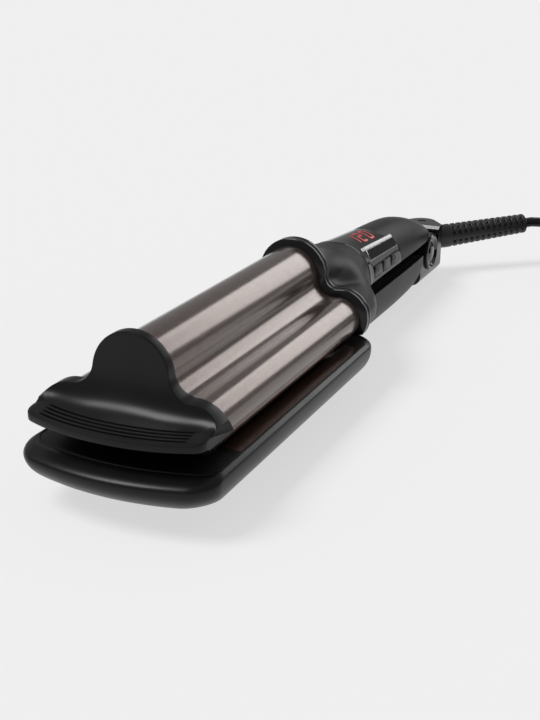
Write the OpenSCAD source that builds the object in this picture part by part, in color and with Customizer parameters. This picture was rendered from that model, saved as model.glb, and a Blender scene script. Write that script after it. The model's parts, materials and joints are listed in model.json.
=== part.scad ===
// Hair waver: a hinged styling tool with a wavy hot plate on its upper arm,
// a barrel and two troughs on its lower arm, a side control panel and a swivel cord.
// X is across the jaws, +Y runs from the nose to the cord, Z is up.
// Heights are first taken from the closing plane of the jaws, and lengths from the
// corners of the front lip; placed() then puts the origin under the middle of the body.

/* [Wave jaws] */
// Radius of the central dome of the wave plate
dome_r = 11.8; // [10.5:0.1:12.5]
// Height of the dome's centre above the closing plane
dome_z = 24.8; // [24:0.1:26]
// Radius of the side lobes
lobe_r = 8.8; // [8.2:0.1:9]
// Distance from the middle to a lobe's centre
lobe_x = 22.3; // [21.5:0.1:23]
// Height of a lobe's centre above the closing plane
lobe_z = 8.4; // [8.2:0.1:9.2]
// Radius of the hollow between dome and lobe
waist_r = 7.9; // [7:0.1:8.2]
// Wall of both hot plates
plate_wall = 1.6; // [1.2:0.1:1.8]
// Space for the hair between the closed plates
hair_gap = 1.8; // [1.4:0.1:2.2]
// Length of the wave plate
plate_len = 124.5; // [100:0.5:150]
// Lip corners to the front of the wave plate
plate_front = 17; // [15:0.5:20]
// How far the lower plate ends short of the wave plate, so that it swings clear of the front cap
barrel_inset = 7; // [6:0.5:12]

/* [Front cap] */
// How far the cap stands proud of the dome
cap_proud = 2.7; // [2:0.1:3.5]
// How much larger than the lobes the cap's sides are
cap_side = 5.2; // [4.5:0.1:5.6]
// Length of the cap along the jaw
cap_len = 4.7; // [4:0.1:5.5]
// Half width of the lip
lip_half_w = 33; // [31:0.5:34.5]
// Top of the lip's front edge above the closing plane
lip_top = 10.8; // [10:0.1:12]
// Thickness of the lip's front edge
lip_edge = 2.1; // [1.5:0.1:3]
// How far the middle of the lip reaches ahead of its corners
lip_bulge = 7.8; // [4:0.1:9]
// Number of grip grooves on the lip
groove_count = 4; // [0:1:5]
// Distance between grip grooves
groove_pitch = 1.9; // [1.6:0.1:2.2]
// Width of a grip groove
groove_w = 0.8; // [0.5:0.1:1.1]
// Depth of a grip groove
groove_depth = 0.7; // [0.3:0.1:1]

/* [Rear collar] */
// How far the collar stands proud of the wave plate
collar_proud = 3.1; // [2.5:0.1:3.5]
// Length of the collar along the jaw
collar_len = 6.7; // [5:0.1:8]
// Height of the collar's lower edge above the closing plane
collar_low = 1.8; // [1.5:0.1:2.5]

/* [Tray] */
// Half width of the lower jaw at its widest
tray_half_w = 37; // [36:0.5:40]
// Depth of the lower arm under the closing plane
shell_depth = 22.8; // [21:0.1:26]
// Wall of the lower shells
shell_wall = 2; // [1.6:0.1:2.2]
// How far the nose reaches ahead of the lip corners
nose_reach = 10; // [9:0.5:12]
// Lip corners to the rear wall of the tray
tray_rear = 152; // [150:0.5:154]
// Gap between a part and the shell that it is set in
seat_gap = 0.2; // [0.1:0.05:0.3]
// Thickness of the walls that close the ends of the barrel
bulkhead_t = 2.6; // [2:0.1:3.2]

/* [Handle] */
// Half width of the handle
handle_half_w = 14.6; // [14:0.1:15.5]
// Wall of the upper handle shell
cover_wall = 2.3; // [2.1:0.1:2.5]
// Lip corners to the rear end of the upper shell
cover_rear = 311; // [309:0.5:311.5]
// Half width of the lower handle
lever_half_w = 15; // [14:0.1:16]
// Lower handle's upper edge below the closing plane
lever_drop = 0.9; // [0.6:0.1:1.5]
// Lip corners to the rear end of the lower handle shell
lever_rear = 284; // [280:0.5:285]
// Thickness of the inner covers of both handles
cover_plate_t = 2; // [1.6:0.1:2.4]

/* [Hinge] */
// Lip corners to the hinge axis
hinge_y = 300; // [299:0.5:301]
// Hinge axis below the closing plane
hinge_drop = 3; // [2.6:0.1:3.4]
// Diameter of the hinge pin
pin_d = 4; // [3:0.1:5]
// Running clearance round the pin, on the radius
pin_fit = 0.05; // [0.03:0.01:0.1]
// Radius of the round cheeks of the hub
cheek_r = 10.4; // [10:0.1:10.6]
// Half width of the hub
hub_half_w = 12.9; // [12.6:0.1:13.3]
// Thickness of a hub cheek
cheek_t = 3.6; // [3:0.1:4]
// Radius of the hinge caps
hinge_cap_r = 9.5; // [8.5:0.1:9.8]
// Thickness of the hinge caps
hinge_cap_t = 1.6; // [1.2:0.1:2]
// Clearance between pieces that turn on each other
turn_gap = 0.4; // [0.3:0.05:0.6]
// Diameter of the sleeved wires inside
wire_d = 2.6; // [2:0.1:3]

/* [Controls] */
// Thickness of the glossy control panel
panel_t = 1.2; // [1:0.1:1.3]
// Distance between the buttons
button_pitch = 11.8; // [11:0.1:12.5]
// Length of a button along the handle
button_len = 9.6; // [8:0.1:10]
// Height of a button
button_h = 5.2; // [4.5:0.1:5.6]
// Travel of a button
button_travel = 0.6; // [0.4:0.1:0.8]
// Clearance round a button
button_gap = 0.3; // [0.25:0.05:0.4]

/* [Swivel and cord] */
// Hinge axis to the swivel's axis
swivel_back = 25; // [25:0.1:26]
// Radius of the swivel ball
ball_r = 8.3; // [7.8:0.1:8.5]
// Diameter of the swivel's trunnions
trunnion_d = 4.4; // [3.6:0.1:5]
// Diameter of the cord
cord_d = 5.5; // [4.5:0.1:5.6]
// Diameter of the strain relief at its base
relief_base_d = 14.9; // [13:0.1:15]
// Diameter of the strain relief at its end
relief_end_d = 10.6; // [9:0.1:11.5]
// Swivel axis to the end of the strain relief
relief_reach = 63; // [58:0.5:68]
// Number of ribs on the strain relief
rib_count = 13; // [8:1:14]
// Width of a rib
rib_w = 1.9; // [1.4:0.1:2.2]
// Loops in each of the coil's four layers
loops_per_layer = 2.25; // [1.5:0.25:2.5]
// Radius of the coil at its outer turns
coil_r = 36.5; // [34:0.5:37]
// Clear gap between the coil's turns
coil_gap = 0.6; // [0.5:0.1:1]

/* [Plug] */
// Length of the plug body
plug_len = 34; // [30:0.5:40]
// Width of the plug body
plug_w = 26; // [25:0.5:30]
// Thickness of the plug body
plug_t = 14; // [13:0.5:16]
// Diameter of the plug's pins
plug_pin_d = 4; // [3.8:0.1:4.2]
// Length of the plug's pins
plug_pin_len = 19; // [17:0.5:20]
// Distance between the plug's pins
plug_pin_pitch = 18.6; // [17:0.1:19]

/* [Hidden] */

$fn = 48;
// Half the number of points across a handle section, split over dome, waist and lobe
DOME_N = 6;
WAIST_N = 4;
LOBE_N = 6;
SIDE_N = DOME_N + WAIST_N + LOBE_N;

// Places along the tool
plate_rear = plate_front + plate_len;
barrel_front = plate_front + barrel_inset;
barrel_rear = plate_rear - barrel_inset;
cap_front = plate_front - cap_len;
cover_front = plate_rear + collar_len + 0.05;
swivel_y = hinge_y + swivel_back;
swivel_z = -hinge_drop - 0.3;
swivel_plate_r = 7.5;
hub_rear = swivel_y + swivel_plate_r;
mid_y = (hub_rear - nose_reach) / 2;

dome_c = [0, dome_z];
lobe_c = [lobe_x, lobe_z];
// Centre of the circle of radius r that touches circle a and circle b from above
function touching(a, a_r, b, b_r, r) = let (
    line = b - a,
    far = norm(line),
    part = ((a_r + r) ^ 2 - (b_r + r) ^ 2 + far ^ 2) / (2 * far),
    off = sqrt((a_r + r) ^ 2 - part ^ 2)
) a + (part * line + off * [-line.y, line.x]) / far;
// Hollow between dome and lobe
waist_c = touching(dome_c, dome_r, lobe_c, lobe_r, waist_r);
dome_a = atan2(waist_c.y - dome_z, waist_c.x);
lobe_a = atan2(waist_c.y - lobe_z, waist_c.x - lobe_x);
// Direction square to the straight run between waist and lobe on the inner side
inner_a = atan2(lobe_z - waist_c.y, lobe_x - waist_c.x)
    - acos((waist_r + plate_wall - lobe_r) / norm(lobe_c - waist_c));
core_r = lobe_r - plate_wall - seat_gap;

// Levels of the tray
rim_z = -0.8;
belt_z = -4;
ledge_z = rim_z - plate_wall - 0.1;
rim_half_w = tray_half_w - 2.2;
ledge_w = 1.8;
tray_floor_z = -shell_depth + shell_wall;
belt_turn = 75;

// Inner cover of the upper handle
base_low = 6;
base_rear = hinge_y - 12;
base_top = base_low + cover_plate_t;

// Shaping of the upper shell: share of the shoulder's length against width and height
shoulder_len = 57;
shoulder_half_w = 33;
blend_len = 31;
section_n = 2.3;
width_at = [
    for (p = [[0, 1], [0.18, 0.95], [0.3, 0.86], [0.42, 0.65], [0.56, 0.375],
              [0.7, 0.174], [0.84, 0.054], [1, 0.005]])
        [cover_front + p.x * shoulder_len, handle_half_w + p.y * (shoulder_half_w - handle_half_w)],
    for (p = [[41, 0.99], [26, 0.96], [16, 0.905], [8, 0.8], [3, 0.67], [0, 0.54]])
        [cover_rear - p.x, handle_half_w * p.y]
];
top_at = [
    for (p = [[0, 38], [0.12, 34], [0.26, 31], [0.42, 29], [0.74, 27.2], [1, 26]])
        [cover_front + p.x * shoulder_len, p.y],
    for (p = [[76, 23.8], [60, 22.8], [49, 22], [38, 20.8], [28, 18.8], [19, 16], [11, 12.8],
              [5, 9.8], [0, 6.8]])
        [cover_rear - p.x, p.y]
];
low_at = [
    [cover_front, 3], [cover_front + 17, 3.2], [cover_front + 27, 4.2], [cover_front + 37, 5.2],
    [cover_front + 52, 5.8], [cover_rear - 26, 5.4], [cover_rear, 3.6]
];
// Slanted ends of the control panel, against the share of the way down its side
panel_front_at = [[0, 188], [0.45, 193], [0.7, 197], [1, 199]];
panel_rear_at = [[0, 229], [0.3, 231], [0.5, 239], [0.7, 243], [1, 246]];
panel_proud = 0.1;
button_y = 222.6;
button_z = 10.2;
button_proud = 0.5;
button_foot_x = 10.75;
button_flange = 0.75;
board_t = 1.2;
switch_h = 1.3;

// Strain relief and cord: turned to the side and tipped up as the cord leaves
cord_yaw = 50;
cord_tilt = 5;
relief_start = 9.4;
relief_base_len = 10;
relief_dir = [sin(cord_yaw) * cos(cord_tilt), cos(cord_yaw) * cos(cord_tilt), sin(cord_tilt)];
swivel_at = [0, swivel_y, swivel_z];
relief_tip = swivel_at + relief_dir * relief_reach;
cord_r = cord_d / 2;
cord_z = -shell_depth + cord_r;
LEAD_SIDES = 10;
COIL_SIDES = 6;
COIL_RINGS = 24;

module placed() {
    translate([0, -mid_y, shell_depth]) children();
}

// ---- Functions ----
function ease(t) = let (c = min(max(t, 0), 1)) c * c * (3 - 2 * c);
// Table value with its corners rounded over a reach of 3 each way
function soft(y, table) = ([for (k = [-3:3]) 1] * [for (k = [-3:3]) lookup(y + k, table)]) / 7;
function arc(c, r, a0, a1, n) = [for (i = [0:n]) let (a = a0 + (a1 - a0) * i / n) c + r * [cos(a), sin(a)]];
function tail(list) = [for (i = [1:len(list) - 1]) list[i]];
function flipped(list) = [for (i = [len(list) - 1:-1:0]) [-list[i].x, list[i].y]];
function both_sides(list) = concat(list, [for (p = flipped(list)) if (p.x < -0.001) p]);

// Right half of the wavy outline, from the top of the dome down to angle end_a on the lobe
function wave_half(grow, end_a, nd = 16, nw = 8, nl = 18) = concat(
    arc(dome_c, dome_r + grow, 90, dome_a, nd),
    tail(arc(waist_c, waist_r - grow, dome_a + 180, lobe_a + 180, nw)),
    tail(arc(lobe_c, lobe_r + grow, lobe_a, end_a, nl))
);
// Right half of the wavy line on the hair side, from the middle out to angle end_a on the trough
function barrel_half(shrink, end_a) = concat(
    arc(dome_c, dome_r - plate_wall - shrink, 90, dome_a, 16),
    tail(arc(waist_c, waist_r + plate_wall + shrink, dome_a + 180, inner_a + 360, 6)),
    arc(lobe_c, lobe_r + shrink, inner_a, end_a, 18)
);
function trough_a(r, z) = -asin((lobe_z - z) / r);

// Wavy outline scaled to a unit width and height, for blending into the handle
wave_low = collar_low;
wave_list = wave_half(collar_proud, -34, DOME_N, WAIST_N, LOBE_N);
wave_unit = [for (p = wave_list)
    [p.x / (lobe_x + lobe_r + collar_proud), (p.y - wave_low) / (dome_z + dome_r + collar_proud - wave_low)]];

// Point i of the handle section at y, taken in by depth; i runs from -SIDE_N to SIDE_N
function handle_pt(y, i, depth) = let (
    j = abs(i),
    a = 90 - 90 * j / SIDE_N,
    round_pt = [max(cos(a), 0) ^ (2 / section_n), max(sin(a), 0) ^ (2 / section_n)],
    s = ease((y - cover_front) / blend_len),
    q = (1 - s) * wave_unit[j] + s * round_pt,
    low = soft(y, low_at)
) [sign(i) * (soft(y, width_at) - depth) * q.x, y, low + (soft(y, top_at) - low - depth) * q.y];

function steps(a, b, n) = [for (k = [0:n]) a + (b - a) * k / n];
function row_mix(i, front, rear, t) = let (u = abs(i) / SIDE_N)
    (is_list(front) ? lookup(u, front) : front) * (1 - t) + (is_list(rear) ? lookup(u, rear) : rear) * t;
// Rows of the handle surface between two ends, each a number or a slanted edge
function handle_rows(front, rear, n, depth, i0 = -SIDE_N, i1 = SIDE_N) = [
    for (t = steps(0, 1, n)) [for (i = [i0:i1]) handle_pt(row_mix(i, front, rear, t), i, depth)]
];

// Plan outline of the tray, counter-clockwise from its front left corner
function plan(half_w, front, rear, rf, rr, bulge) = [
    for (p = concat(
        arc([-(half_w - rf), front + rf], rf, 180, 270, 5),
        [for (k = [1:7]) [-(half_w - rf) + 2 * (half_w - rf) * k / 8, front]],
        arc([half_w - rf, front + rf], rf, 270, 360, 5),
        arc([half_w - rr, rear - rr], rr, 0, 90, 5),
        arc([-(half_w - rr), rear - rr], rr, 90, 180, 5)
    )) [p.x, p.y - bulge * (1 - (p.x / half_w) ^ 2) * min(max((front + rf - p.y) / rf, 0), 1)]
];
function at_z(list, z) = [for (p = list) [p.x, p.y, z]];
function at_y(list, y) = [for (p = list) [p.x, y, p.y]];

// ---- Solids from points ----
// Rings joined in order and capped at both ends
module stack(rings) {
    n = len(rings[0]);
    last = len(rings) - 1;
    points = [for (r = rings) each r];
    sides = [for (k = [0:last - 1], i = [0:n - 1]) let (j = (i + 1) % n)
        each [[k * n + i, (k + 1) * n + i, (k + 1) * n + j], [k * n + i, (k + 1) * n + j, k * n + j]]];
    start_cap = [[for (i = [0:n - 1]) i]];
    end_cap = [[for (i = [n - 1:-1:0]) last * n + i]];
    polyhedron(points, concat(sides, start_cap, end_cap));
}

// Sheet between two grids of points, closed along its four edges
module sheet(outer, inner) {
    rows = len(outer);
    cols = len(outer[0]);
    n = rows * cols;
    points = concat([for (r = outer) each r], [for (r = inner) each r]);
    grid = [for (r = [0:rows - 2], c = [0:cols - 2]) let (a = r * cols + c, b = a + cols)
        each [[a, b, b + 1], [a, b + 1, a + 1], [n + a, n + b + 1, n + b], [n + a, n + a + 1, n + b + 1]]];
    ends = [for (c = [0:cols - 2]) let (b = (rows - 1) * cols + c)
        each [[c, c + 1, n + c + 1], [c, n + c + 1, n + c], [b, n + b + 1, b + 1], [b, n + b, n + b + 1]]];
    edges = [for (r = [0:rows - 2]) let (a = r * cols, b = a + cols, c = a + cols - 1, d = c + cols)
        each [[a, n + b, b], [a, n + a, n + b], [c, d, n + d], [c, n + d, n + c]]];
    polyhedron(points, concat(grid, ends, edges));
}

// Flat outline drawn across and up, made solid from y0 to y1
module along_y(y0, y1) {
    translate([0, y1, 0]) rotate([90, 0, 0]) linear_extrude(y1 - y0) children();
}
// Flat outline drawn along the tool and up, made solid from x0 to x1
module along_x(x0, x1) {
    translate([x0, 0, 0]) rotate([90, 0, 90]) linear_extrude(x1 - x0) children();
}
module rod_x(x0, x1, y, z, d) {
    translate([x0, y, z]) rotate([0, 90, 0]) cylinder(d = d, h = x1 - x0);
}
module rod_y(y0, y1, x, z, d) {
    translate([x, y0, z]) rotate([-90, 0, 0]) cylinder(d = d, h = y1 - y0);
}
module block(x0, x1, y0, y1, z0, z1) {
    translate([x0, y0, z0]) cube([x1 - x0, y1 - y0, z1 - z0]);
}

// ---- Upper arm ----
module wave_plate() color([0.72, 0.6, 0.58]) placed() {
    half = concat(
        wave_half(0, inner_a),
        tail(arc(waist_c, waist_r + plate_wall, inner_a, dome_a - 180, 6)),
        arc(dome_c, dome_r - plate_wall, dome_a, 90, 16)
    );
    along_y(plate_front, plate_rear) difference() {
        polygon(concat(half, [for (p = flipped(half)) if (p.x < -0.001) p]));
        for (side = [-1, 1]) translate([side * lobe_x, lobe_z]) circle(lobe_r - plate_wall);
    }
}

// Outline of the front cap: larger circles than the wave plate's, so its hollows are shallower
cap_dome_r = dome_r + cap_proud;
cap_waist_r = waist_r + 0.1;
cap_lobe_c = [lobe_x - 0.1, lobe_z - 3.4];
cap_lobe_r = lobe_r + cap_side;
cap_waist_c = touching(dome_c, cap_dome_r, cap_lobe_c, cap_lobe_r, cap_waist_r);
cap_dome_a = atan2(cap_waist_c.y - dome_z, cap_waist_c.x);
cap_lobe_a = atan2(cap_waist_c.y - cap_lobe_c.y, cap_waist_c.x - cap_lobe_c.x);
cap_low = 9.6;
function cap_half(grow) = concat(
    arc(dome_c, cap_dome_r + grow, 90, cap_dome_a, 16),
    tail(arc(cap_waist_c, cap_waist_r - grow, cap_dome_a + 180, cap_lobe_a + 180, 8)),
    tail(arc(cap_lobe_c, cap_lobe_r + grow, cap_lobe_a,
        asin((cap_low - cap_lobe_c.y) / (cap_lobe_r + grow)), 12))
);
// Height of the circle about c at x, on its upper (1) or lower (-1) side
function level(c, r, x, side = 1) = c.y + side * sqrt(max(r ^ 2 - (x - c.x) ^ 2, 0));
// Height up to which the lip sweeps on the cap's face at x, a border below the outline
function sweep_top(x) = let (
    at = abs(x),
    top = at < dome_c.x + cap_dome_r * cos(cap_dome_a) ? level(dome_c, cap_dome_r, at)
        : at < cap_lobe_c.x + cap_lobe_r * cos(cap_lobe_a) ? level(cap_waist_c, cap_waist_r, at, -1)
        : level(cap_lobe_c, cap_lobe_r, at)
) max(top - cap_border, lip_top + 0.8);

cap_border = 3.6;
lip_root = cap_front + 1.4;
lip_slope = 0.14;
lip_rise = 2;
lip_flat = 9;
lip_side_y = 4.4;
groove_half_w = lip_half_w - 5.5;
// Section of the lip at turn a from the middle (0) to a side (90), seen along the tool:
// front edge, grooved top, sweep up the face, underside
function lip_section(a) = let (
    x = lip_half_w * sin(a),
    edge = lip_side_y - (lip_side_y + lip_bulge) * cos(a) ^ 0.9,
    fit = min((lip_root - edge) / (lip_flat + 3), 1),
    deep = groove_depth * ease((groove_half_w - abs(x)) / 1.5),
    side = 0.5 * ease((abs(x) - lip_half_w + 3) / 3),
    low = lip_top - lip_edge
) [for (p = concat(
    [[edge + 0.7, low], [edge, low + 0.6], [edge, lip_top - 0.7 - side], [edge + 0.7, lip_top - side]],
    [for (k = [0:1:groove_count - 1])
        let (y = edge + fit * (lip_rise + k * groove_pitch), z = lip_top - side + lip_slope * (y - edge))
            each [[y, z], [y + fit * 0.1, z - deep],
                [y + fit * (groove_w - 0.1), z - deep], [y + fit * groove_w, z]]],
    [for (t = steps(0, 1, 7))
        let (
            start = fit * lip_flat,
            y = edge + start + t * (lip_root - edge - start),
            z = lip_top - side + lip_slope * (y - edge)
        ) [y, z + (sweep_top(x) - z) * t ^ 2.6]],
    [[lip_root, low - 1.6], [edge + fit * 4, low - 0.6]]
)) [x, p.x, p.y]];

module front_cap() color([0.13, 0.13, 0.14]) placed() {
    rings = [for (p = [[0, -1.7], [0.35, -0.8], [1, -0.25], [2.1, 0], [cap_len, 0]])
        at_y(both_sides(cap_half(p.y)), cap_front + p.x)];
    foot_r = lobe_r + 0.2;
    foot = both_sides(concat([[0, lobe_z + foot_r * sin(12)]], arc(lobe_c, foot_r, 12, -56, 10)));
    full_w = 2 * max(lip_half_w, max([for (p = cap_half(0)) p.x]));
    resize([full_w, 0, 0]) union() {
        stack(rings);
        along_y(cap_front + 0.5, plate_front) polygon(foot);
        stack([for (s = [14:-1:-14]) lip_section(90 * s / 14)]);
    }
}

// Bores for the leads through the collar
wire_level = base_top + wire_d / 2 + 0.3;
module rear_collar() color([0.08, 0.08, 0.09]) placed() {
    // Start, end and growth of the collar's bands: a narrower one at each end of the full one
    bands = [[0, 0.7, -0.6], [0.7, collar_len - 0.8, 0], [collar_len - 0.8, collar_len, -0.5]];
    difference() {
        for (p = bands) along_y(plate_rear + p.x, plate_rear + p.y) let (r = collar_proud + p.z)
            polygon(both_sides(wave_half(r, asin((collar_low - lobe_z) / (lobe_r + r)))));
        for (side = [-1, 1]) rod_y(plate_rear - 1, cover_front, side * lobe_x, wire_level, wire_d + 2);
    }
}

// Heating cores pressed into the two lobes
core_front = plate_front + 3;
core_rear = plate_rear - 13;
module upper_heaters() color([0.75, 0.75, 0.77]) placed() {
    for (side = [-1, 1]) rod_y(core_front, core_rear, side * lobe_x, lobe_z, 2 * core_r);
}
module temperature_sensor() color([0.85, 0.8, 0.6]) placed() {
    rod_y(core_rear + 0.2, core_rear + 7, lobe_x, lobe_z, 3);
}
module thermal_fuse() color([0.8, 0.8, 0.82]) placed() {
    rod_y(core_rear + 0.2, core_rear + 9, -lobe_x, lobe_z, 4);
}
// Sleeved leads from the lobes through the collar to the board
module upper_wires() color([0.75, 0.15, 0.1]) placed() {
    z = wire_level;
    for (side = [-1, 1]) {
        start = core_rear + (side > 0 ? 7.2 : 9.2);
        route = [
            [side * lobe_x, start, z], [side * lobe_x, cover_front + 4, z],
            [side * (lobe_x - 3), cover_front + 14, z], [side * 8, cover_front + 40, z + 1.5],
            [side * (side > 0 ? 5 : 8), board_front - 0.3, board_z + board_t / 2]
        ];
        stack(tube(route, wire_d / 2, 8));
    }
}

// Upper handle shell, from the shoulder behind the collar to its rounded rear end
boss_y = [182, 258, 279];
boss_d = 6;
screw_d = 2.4;
screw_grip = 8;
display_x = 4;
display_y = 212;
display_w = 11;
display_len = 31;
module handle_cover() color([0.16, 0.16, 0.17]) placed() {
    recess = panel_t + 0.1;
    step = 0.08;
    recess_front = [for (p = panel_front_at) p + [0, step]];
    recess_rear = [for (p = panel_rear_at) p - [0, step]];
    outer = concat(
        handle_rows(cover_front, panel_front_at, 9, 0),
        handle_rows(recess_front, recess_rear, 5, recess),
        handle_rows(panel_rear_at, cover_rear, 9, 0)
    );
    inner = concat(
        handle_rows(cover_front, panel_front_at, 9, cover_wall),
        handle_rows(recess_front, recess_rear, 5, cover_wall + 0.1),
        handle_rows(panel_rear_at, cover_rear, 9, cover_wall)
    );
    difference() {
        union() {
            sheet(outer, inner);
            for (y = boss_y) boss(y);
        }
        for (y = boss_y) translate([0, y, base_top - 1]) cylinder(d = screw_d - 0.1, h = screw_grip + 2);
        hinge_notch();
        button_window(0.9, 1);
        block(display_x - display_w / 2, display_x + display_w / 2,
            display_y - display_len / 2, display_y + display_len / 2, base_top + 9, 40);
    }
}
// Screw boss hanging from the shell's inside down to the inner cover
module boss(y) {
    translate([0, y, base_top + 0.05])
        cylinder(d = boss_d, h = soft(y, top_at) - cover_wall / 2 - base_top - 0.5);
}
module hinge_notch() {
    rod_x(-lever_half_w - 5, lever_half_w + 5, hinge_y, -hinge_drop, 2 * (cheek_r + turn_gap));
}
// Opening for all three button feet, or for each button face
module button_window(grow_y, grow_z) {
    half_len = button_pitch + button_len / 2 + grow_y;
    block(5, lever_half_w + 3, button_y - half_len, button_y + half_len,
        button_z - button_h / 2 - grow_z, button_z + button_h / 2 + grow_z);
}

// Inner cover that closes the upper handle from below
module handle_base() color([0.1, 0.1, 0.11]) placed() {
    difference() {
        stack([for (y = [cover_front + 0.3, for (k = [1:15]) cover_front + 4 * k, base_rear - 14, base_rear])
            let (a = inner_w(y, base_low), b = inner_w(y, base_top))
            [[-b, y, base_top], [b, y, base_top], [a, y, base_low], [-a, y, base_low]]]);
        for (y = boss_y) translate([0, y, base_low - 1]) cylinder(d = screw_d + 0.3, h = cover_plate_t + 2);
        half_len = button_pitch + button_len / 2 + 1;
        block(button_foot_x - button_travel - button_gap, lever_half_w,
            button_y - half_len, button_y + half_len, button_z - button_h / 2 - button_gap, base_top + 1);
    }
}
// Half width of the shell's inside at y and z, less the seat gap
function inner_w(y, z) = lookup(z, [for (i = [SIDE_N:-1:8]) let (p = handle_pt(y, i, cover_wall)) [p.z, p.x]])
    - 2 * seat_gap;

module screw(head_z, y, x = 0) {
    translate([x, y, head_z - 1.4]) cylinder(d = 4.4, h = 1.4);
    translate([x, y, head_z - 0.01]) cylinder(d = screw_d - 0.1, h = screw_grip + (base_top - head_z));
}
module handle_screws() color([0.6, 0.6, 0.62]) placed() {
    screw(base_low, boss_y[0]);
    for (y = [boss_y[1], boss_y[2]]) screw(pad_low, y);
}

// Bracket under the inner cover, with the lug that turns on the hinge pin
pad_low = base_low - 3;
lug_r = 6;
lug_half_w = 4;
module hinge_knuckle() color([0.12, 0.12, 0.13]) placed() {
    arm = [
        [base_rear - 14, base_low - 0.05], [base_rear - 14, pad_low], [base_rear - 5, pad_low],
        [base_rear, pad_low - 2.6], [hinge_y - 5, -hinge_drop - 2], [hinge_y, -hinge_drop],
        [hinge_y + 4.5, -hinge_drop + 4], [base_rear + 3, base_low - 0.05]
    ];
    difference() {
        union() {
            along_x(-lug_half_w, lug_half_w) polygon(arm);
            rod_x(-lug_half_w, lug_half_w, hinge_y, -hinge_drop, 2 * lug_r);
            block(-8, 8, boss_y[1] - 6, base_rear - 2, pad_low, base_low - 0.05);
        }
        rod_x(-lug_half_w - 1, lug_half_w + 1, hinge_y, -hinge_drop, pin_d + 2 * pin_fit);
        for (y = [boss_y[1], boss_y[2]]) translate([0, y, pad_low - 1]) cylinder(d = screw_d + 0.3, h = 6);
    }
}

// ---- Controls ----
module control_panel() color([0.03, 0.03, 0.035]) placed() {
    gap = 0.15;
    front = [for (p = panel_front_at) p + [0, gap]];
    rear = [for (p = panel_rear_at) p - [0, gap]];
    difference() {
        sheet(handle_rows(front, rear, 5, -panel_proud), handle_rows(front, rear, 5, panel_t));
        for (k = [-1:1]) block(5, lever_half_w + 3,
            button_y + k * button_pitch - button_len / 2 - button_gap,
            button_y + k * button_pitch + button_len / 2 + button_gap,
            button_z - button_h / 2 - button_gap, button_z + button_h / 2 + button_gap);
    }
}
// Glossy bar set over the buttons
module panel_inlay() color([0.01, 0.01, 0.012]) placed() {
    i0 = 8;
    i1 = 11;
    y0 = 203.5;
    y1 = 240.5;
    sheet(handle_rows(y0, y1, 5, -panel_proud - 0.35, i0, i1),
        handle_rows(y0, y1, 5, -panel_proud - 0.05, i0, i1));
}
module display_module() color([0.35, 0.05, 0.05]) placed() {
    top = soft(display_y + display_len / 2, top_at) - panel_t - 4.2;
    block(display_x - display_w / 2 + 0.4, display_x + display_w / 2 - 0.4,
        display_y - display_len / 2 + 0.4, display_y + display_len / 2 - 0.4, top - 4, top);
    for (y = [display_y - 9, display_y + 9]) translate([display_x - 1, y, board_z + board_t])
        cylinder(d = 2, h = top - 3.5 - board_z - board_t);
}
board_z = base_top + 1.6;
board_front = 204;
board_rear = 251;
module main_board() color([0.1, 0.35, 0.2]) placed() {
    block(-10.5, 6.2, board_front, board_rear, board_z, board_z + board_t);
    for (x = [-8, 4], y = [board_front + 4, board_rear - 4])
        translate([x, y, base_top + 0.02]) cylinder(d = 3, h = board_z - base_top);
    block(-8, 0, board_front + 14, board_front + 24, board_z + board_t - 0.01, board_z + board_t + 3.5);
}
switch_tip_x = button_foot_x - button_travel - 0.05;
switch_face_x = switch_tip_x - 0.3;
board_x = switch_face_x - switch_h - board_t;
module switch_board() color([0.1, 0.35, 0.2]) placed() {
    half_len = button_pitch + button_len / 2;
    block(board_x, board_x + board_t, button_y - half_len, button_y + half_len,
        base_top + 0.05, button_z + 4.4);
}
module tactile_switches() color([0.25, 0.25, 0.26]) placed() {
    for (k = [-1:1]) {
        y = button_y + k * button_pitch;
        block(board_x + board_t, switch_face_x, y - 2.2, y + 2.2, button_z - 1.9, button_z + 2.2);
        rod_x(switch_face_x - 0.1, switch_tip_x, y, button_z, 2);
    }
}
// Button k places behind the middle one, with its foot and the flange that keeps it in
module button(k) {
    y = button_y + k * button_pitch;
    face_x = handle_half_w + panel_proud + button_proud;
    difference() {
        union() {
            block(button_foot_x, face_x, y - button_len / 2, y + button_len / 2,
                button_z - button_h / 2, button_z + button_h / 2);
            block(button_foot_x, button_foot_x + button_flange,
                y - button_len / 2 - 0.6, y + button_len / 2 + 0.6,
                button_z - button_h / 2, button_z + button_h / 2 + 0.6);
        }
        children();
    }
}
// Marks sunk into the button faces: minus, power and plus
module mark_bar(k, len_y, len_z) {
    y = button_y + k * button_pitch;
    depth = 0.2;
    block(handle_half_w + panel_proud + button_proud - depth, lever_half_w + 3,
        y - len_y / 2, y + len_y / 2, button_z - len_z / 2, button_z + len_z / 2);
}
mark_len = 2.4;
mark_w = 0.45;
module button_minus() color([0.07, 0.07, 0.075]) placed() button(-1) mark_bar(-1, mark_len, mark_w);
module button_power() color([0.07, 0.07, 0.075]) placed() button(0) {
    difference() {
        rod_x(handle_half_w + panel_proud + button_proud - 0.2, lever_half_w + 3,
            button_y, button_z, mark_len);
        rod_x(handle_half_w, lever_half_w + 4, button_y, button_z, mark_len - 2 * mark_w);
        block(handle_half_w, lever_half_w + 4, button_y - mark_w, button_y + mark_w, button_z, button_z + 3);
    }
}
module button_plus() color([0.07, 0.07, 0.075]) placed() button(1) {
    mark_bar(1, mark_len, mark_w);
    mark_bar(1, mark_w, mark_len);
}

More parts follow.
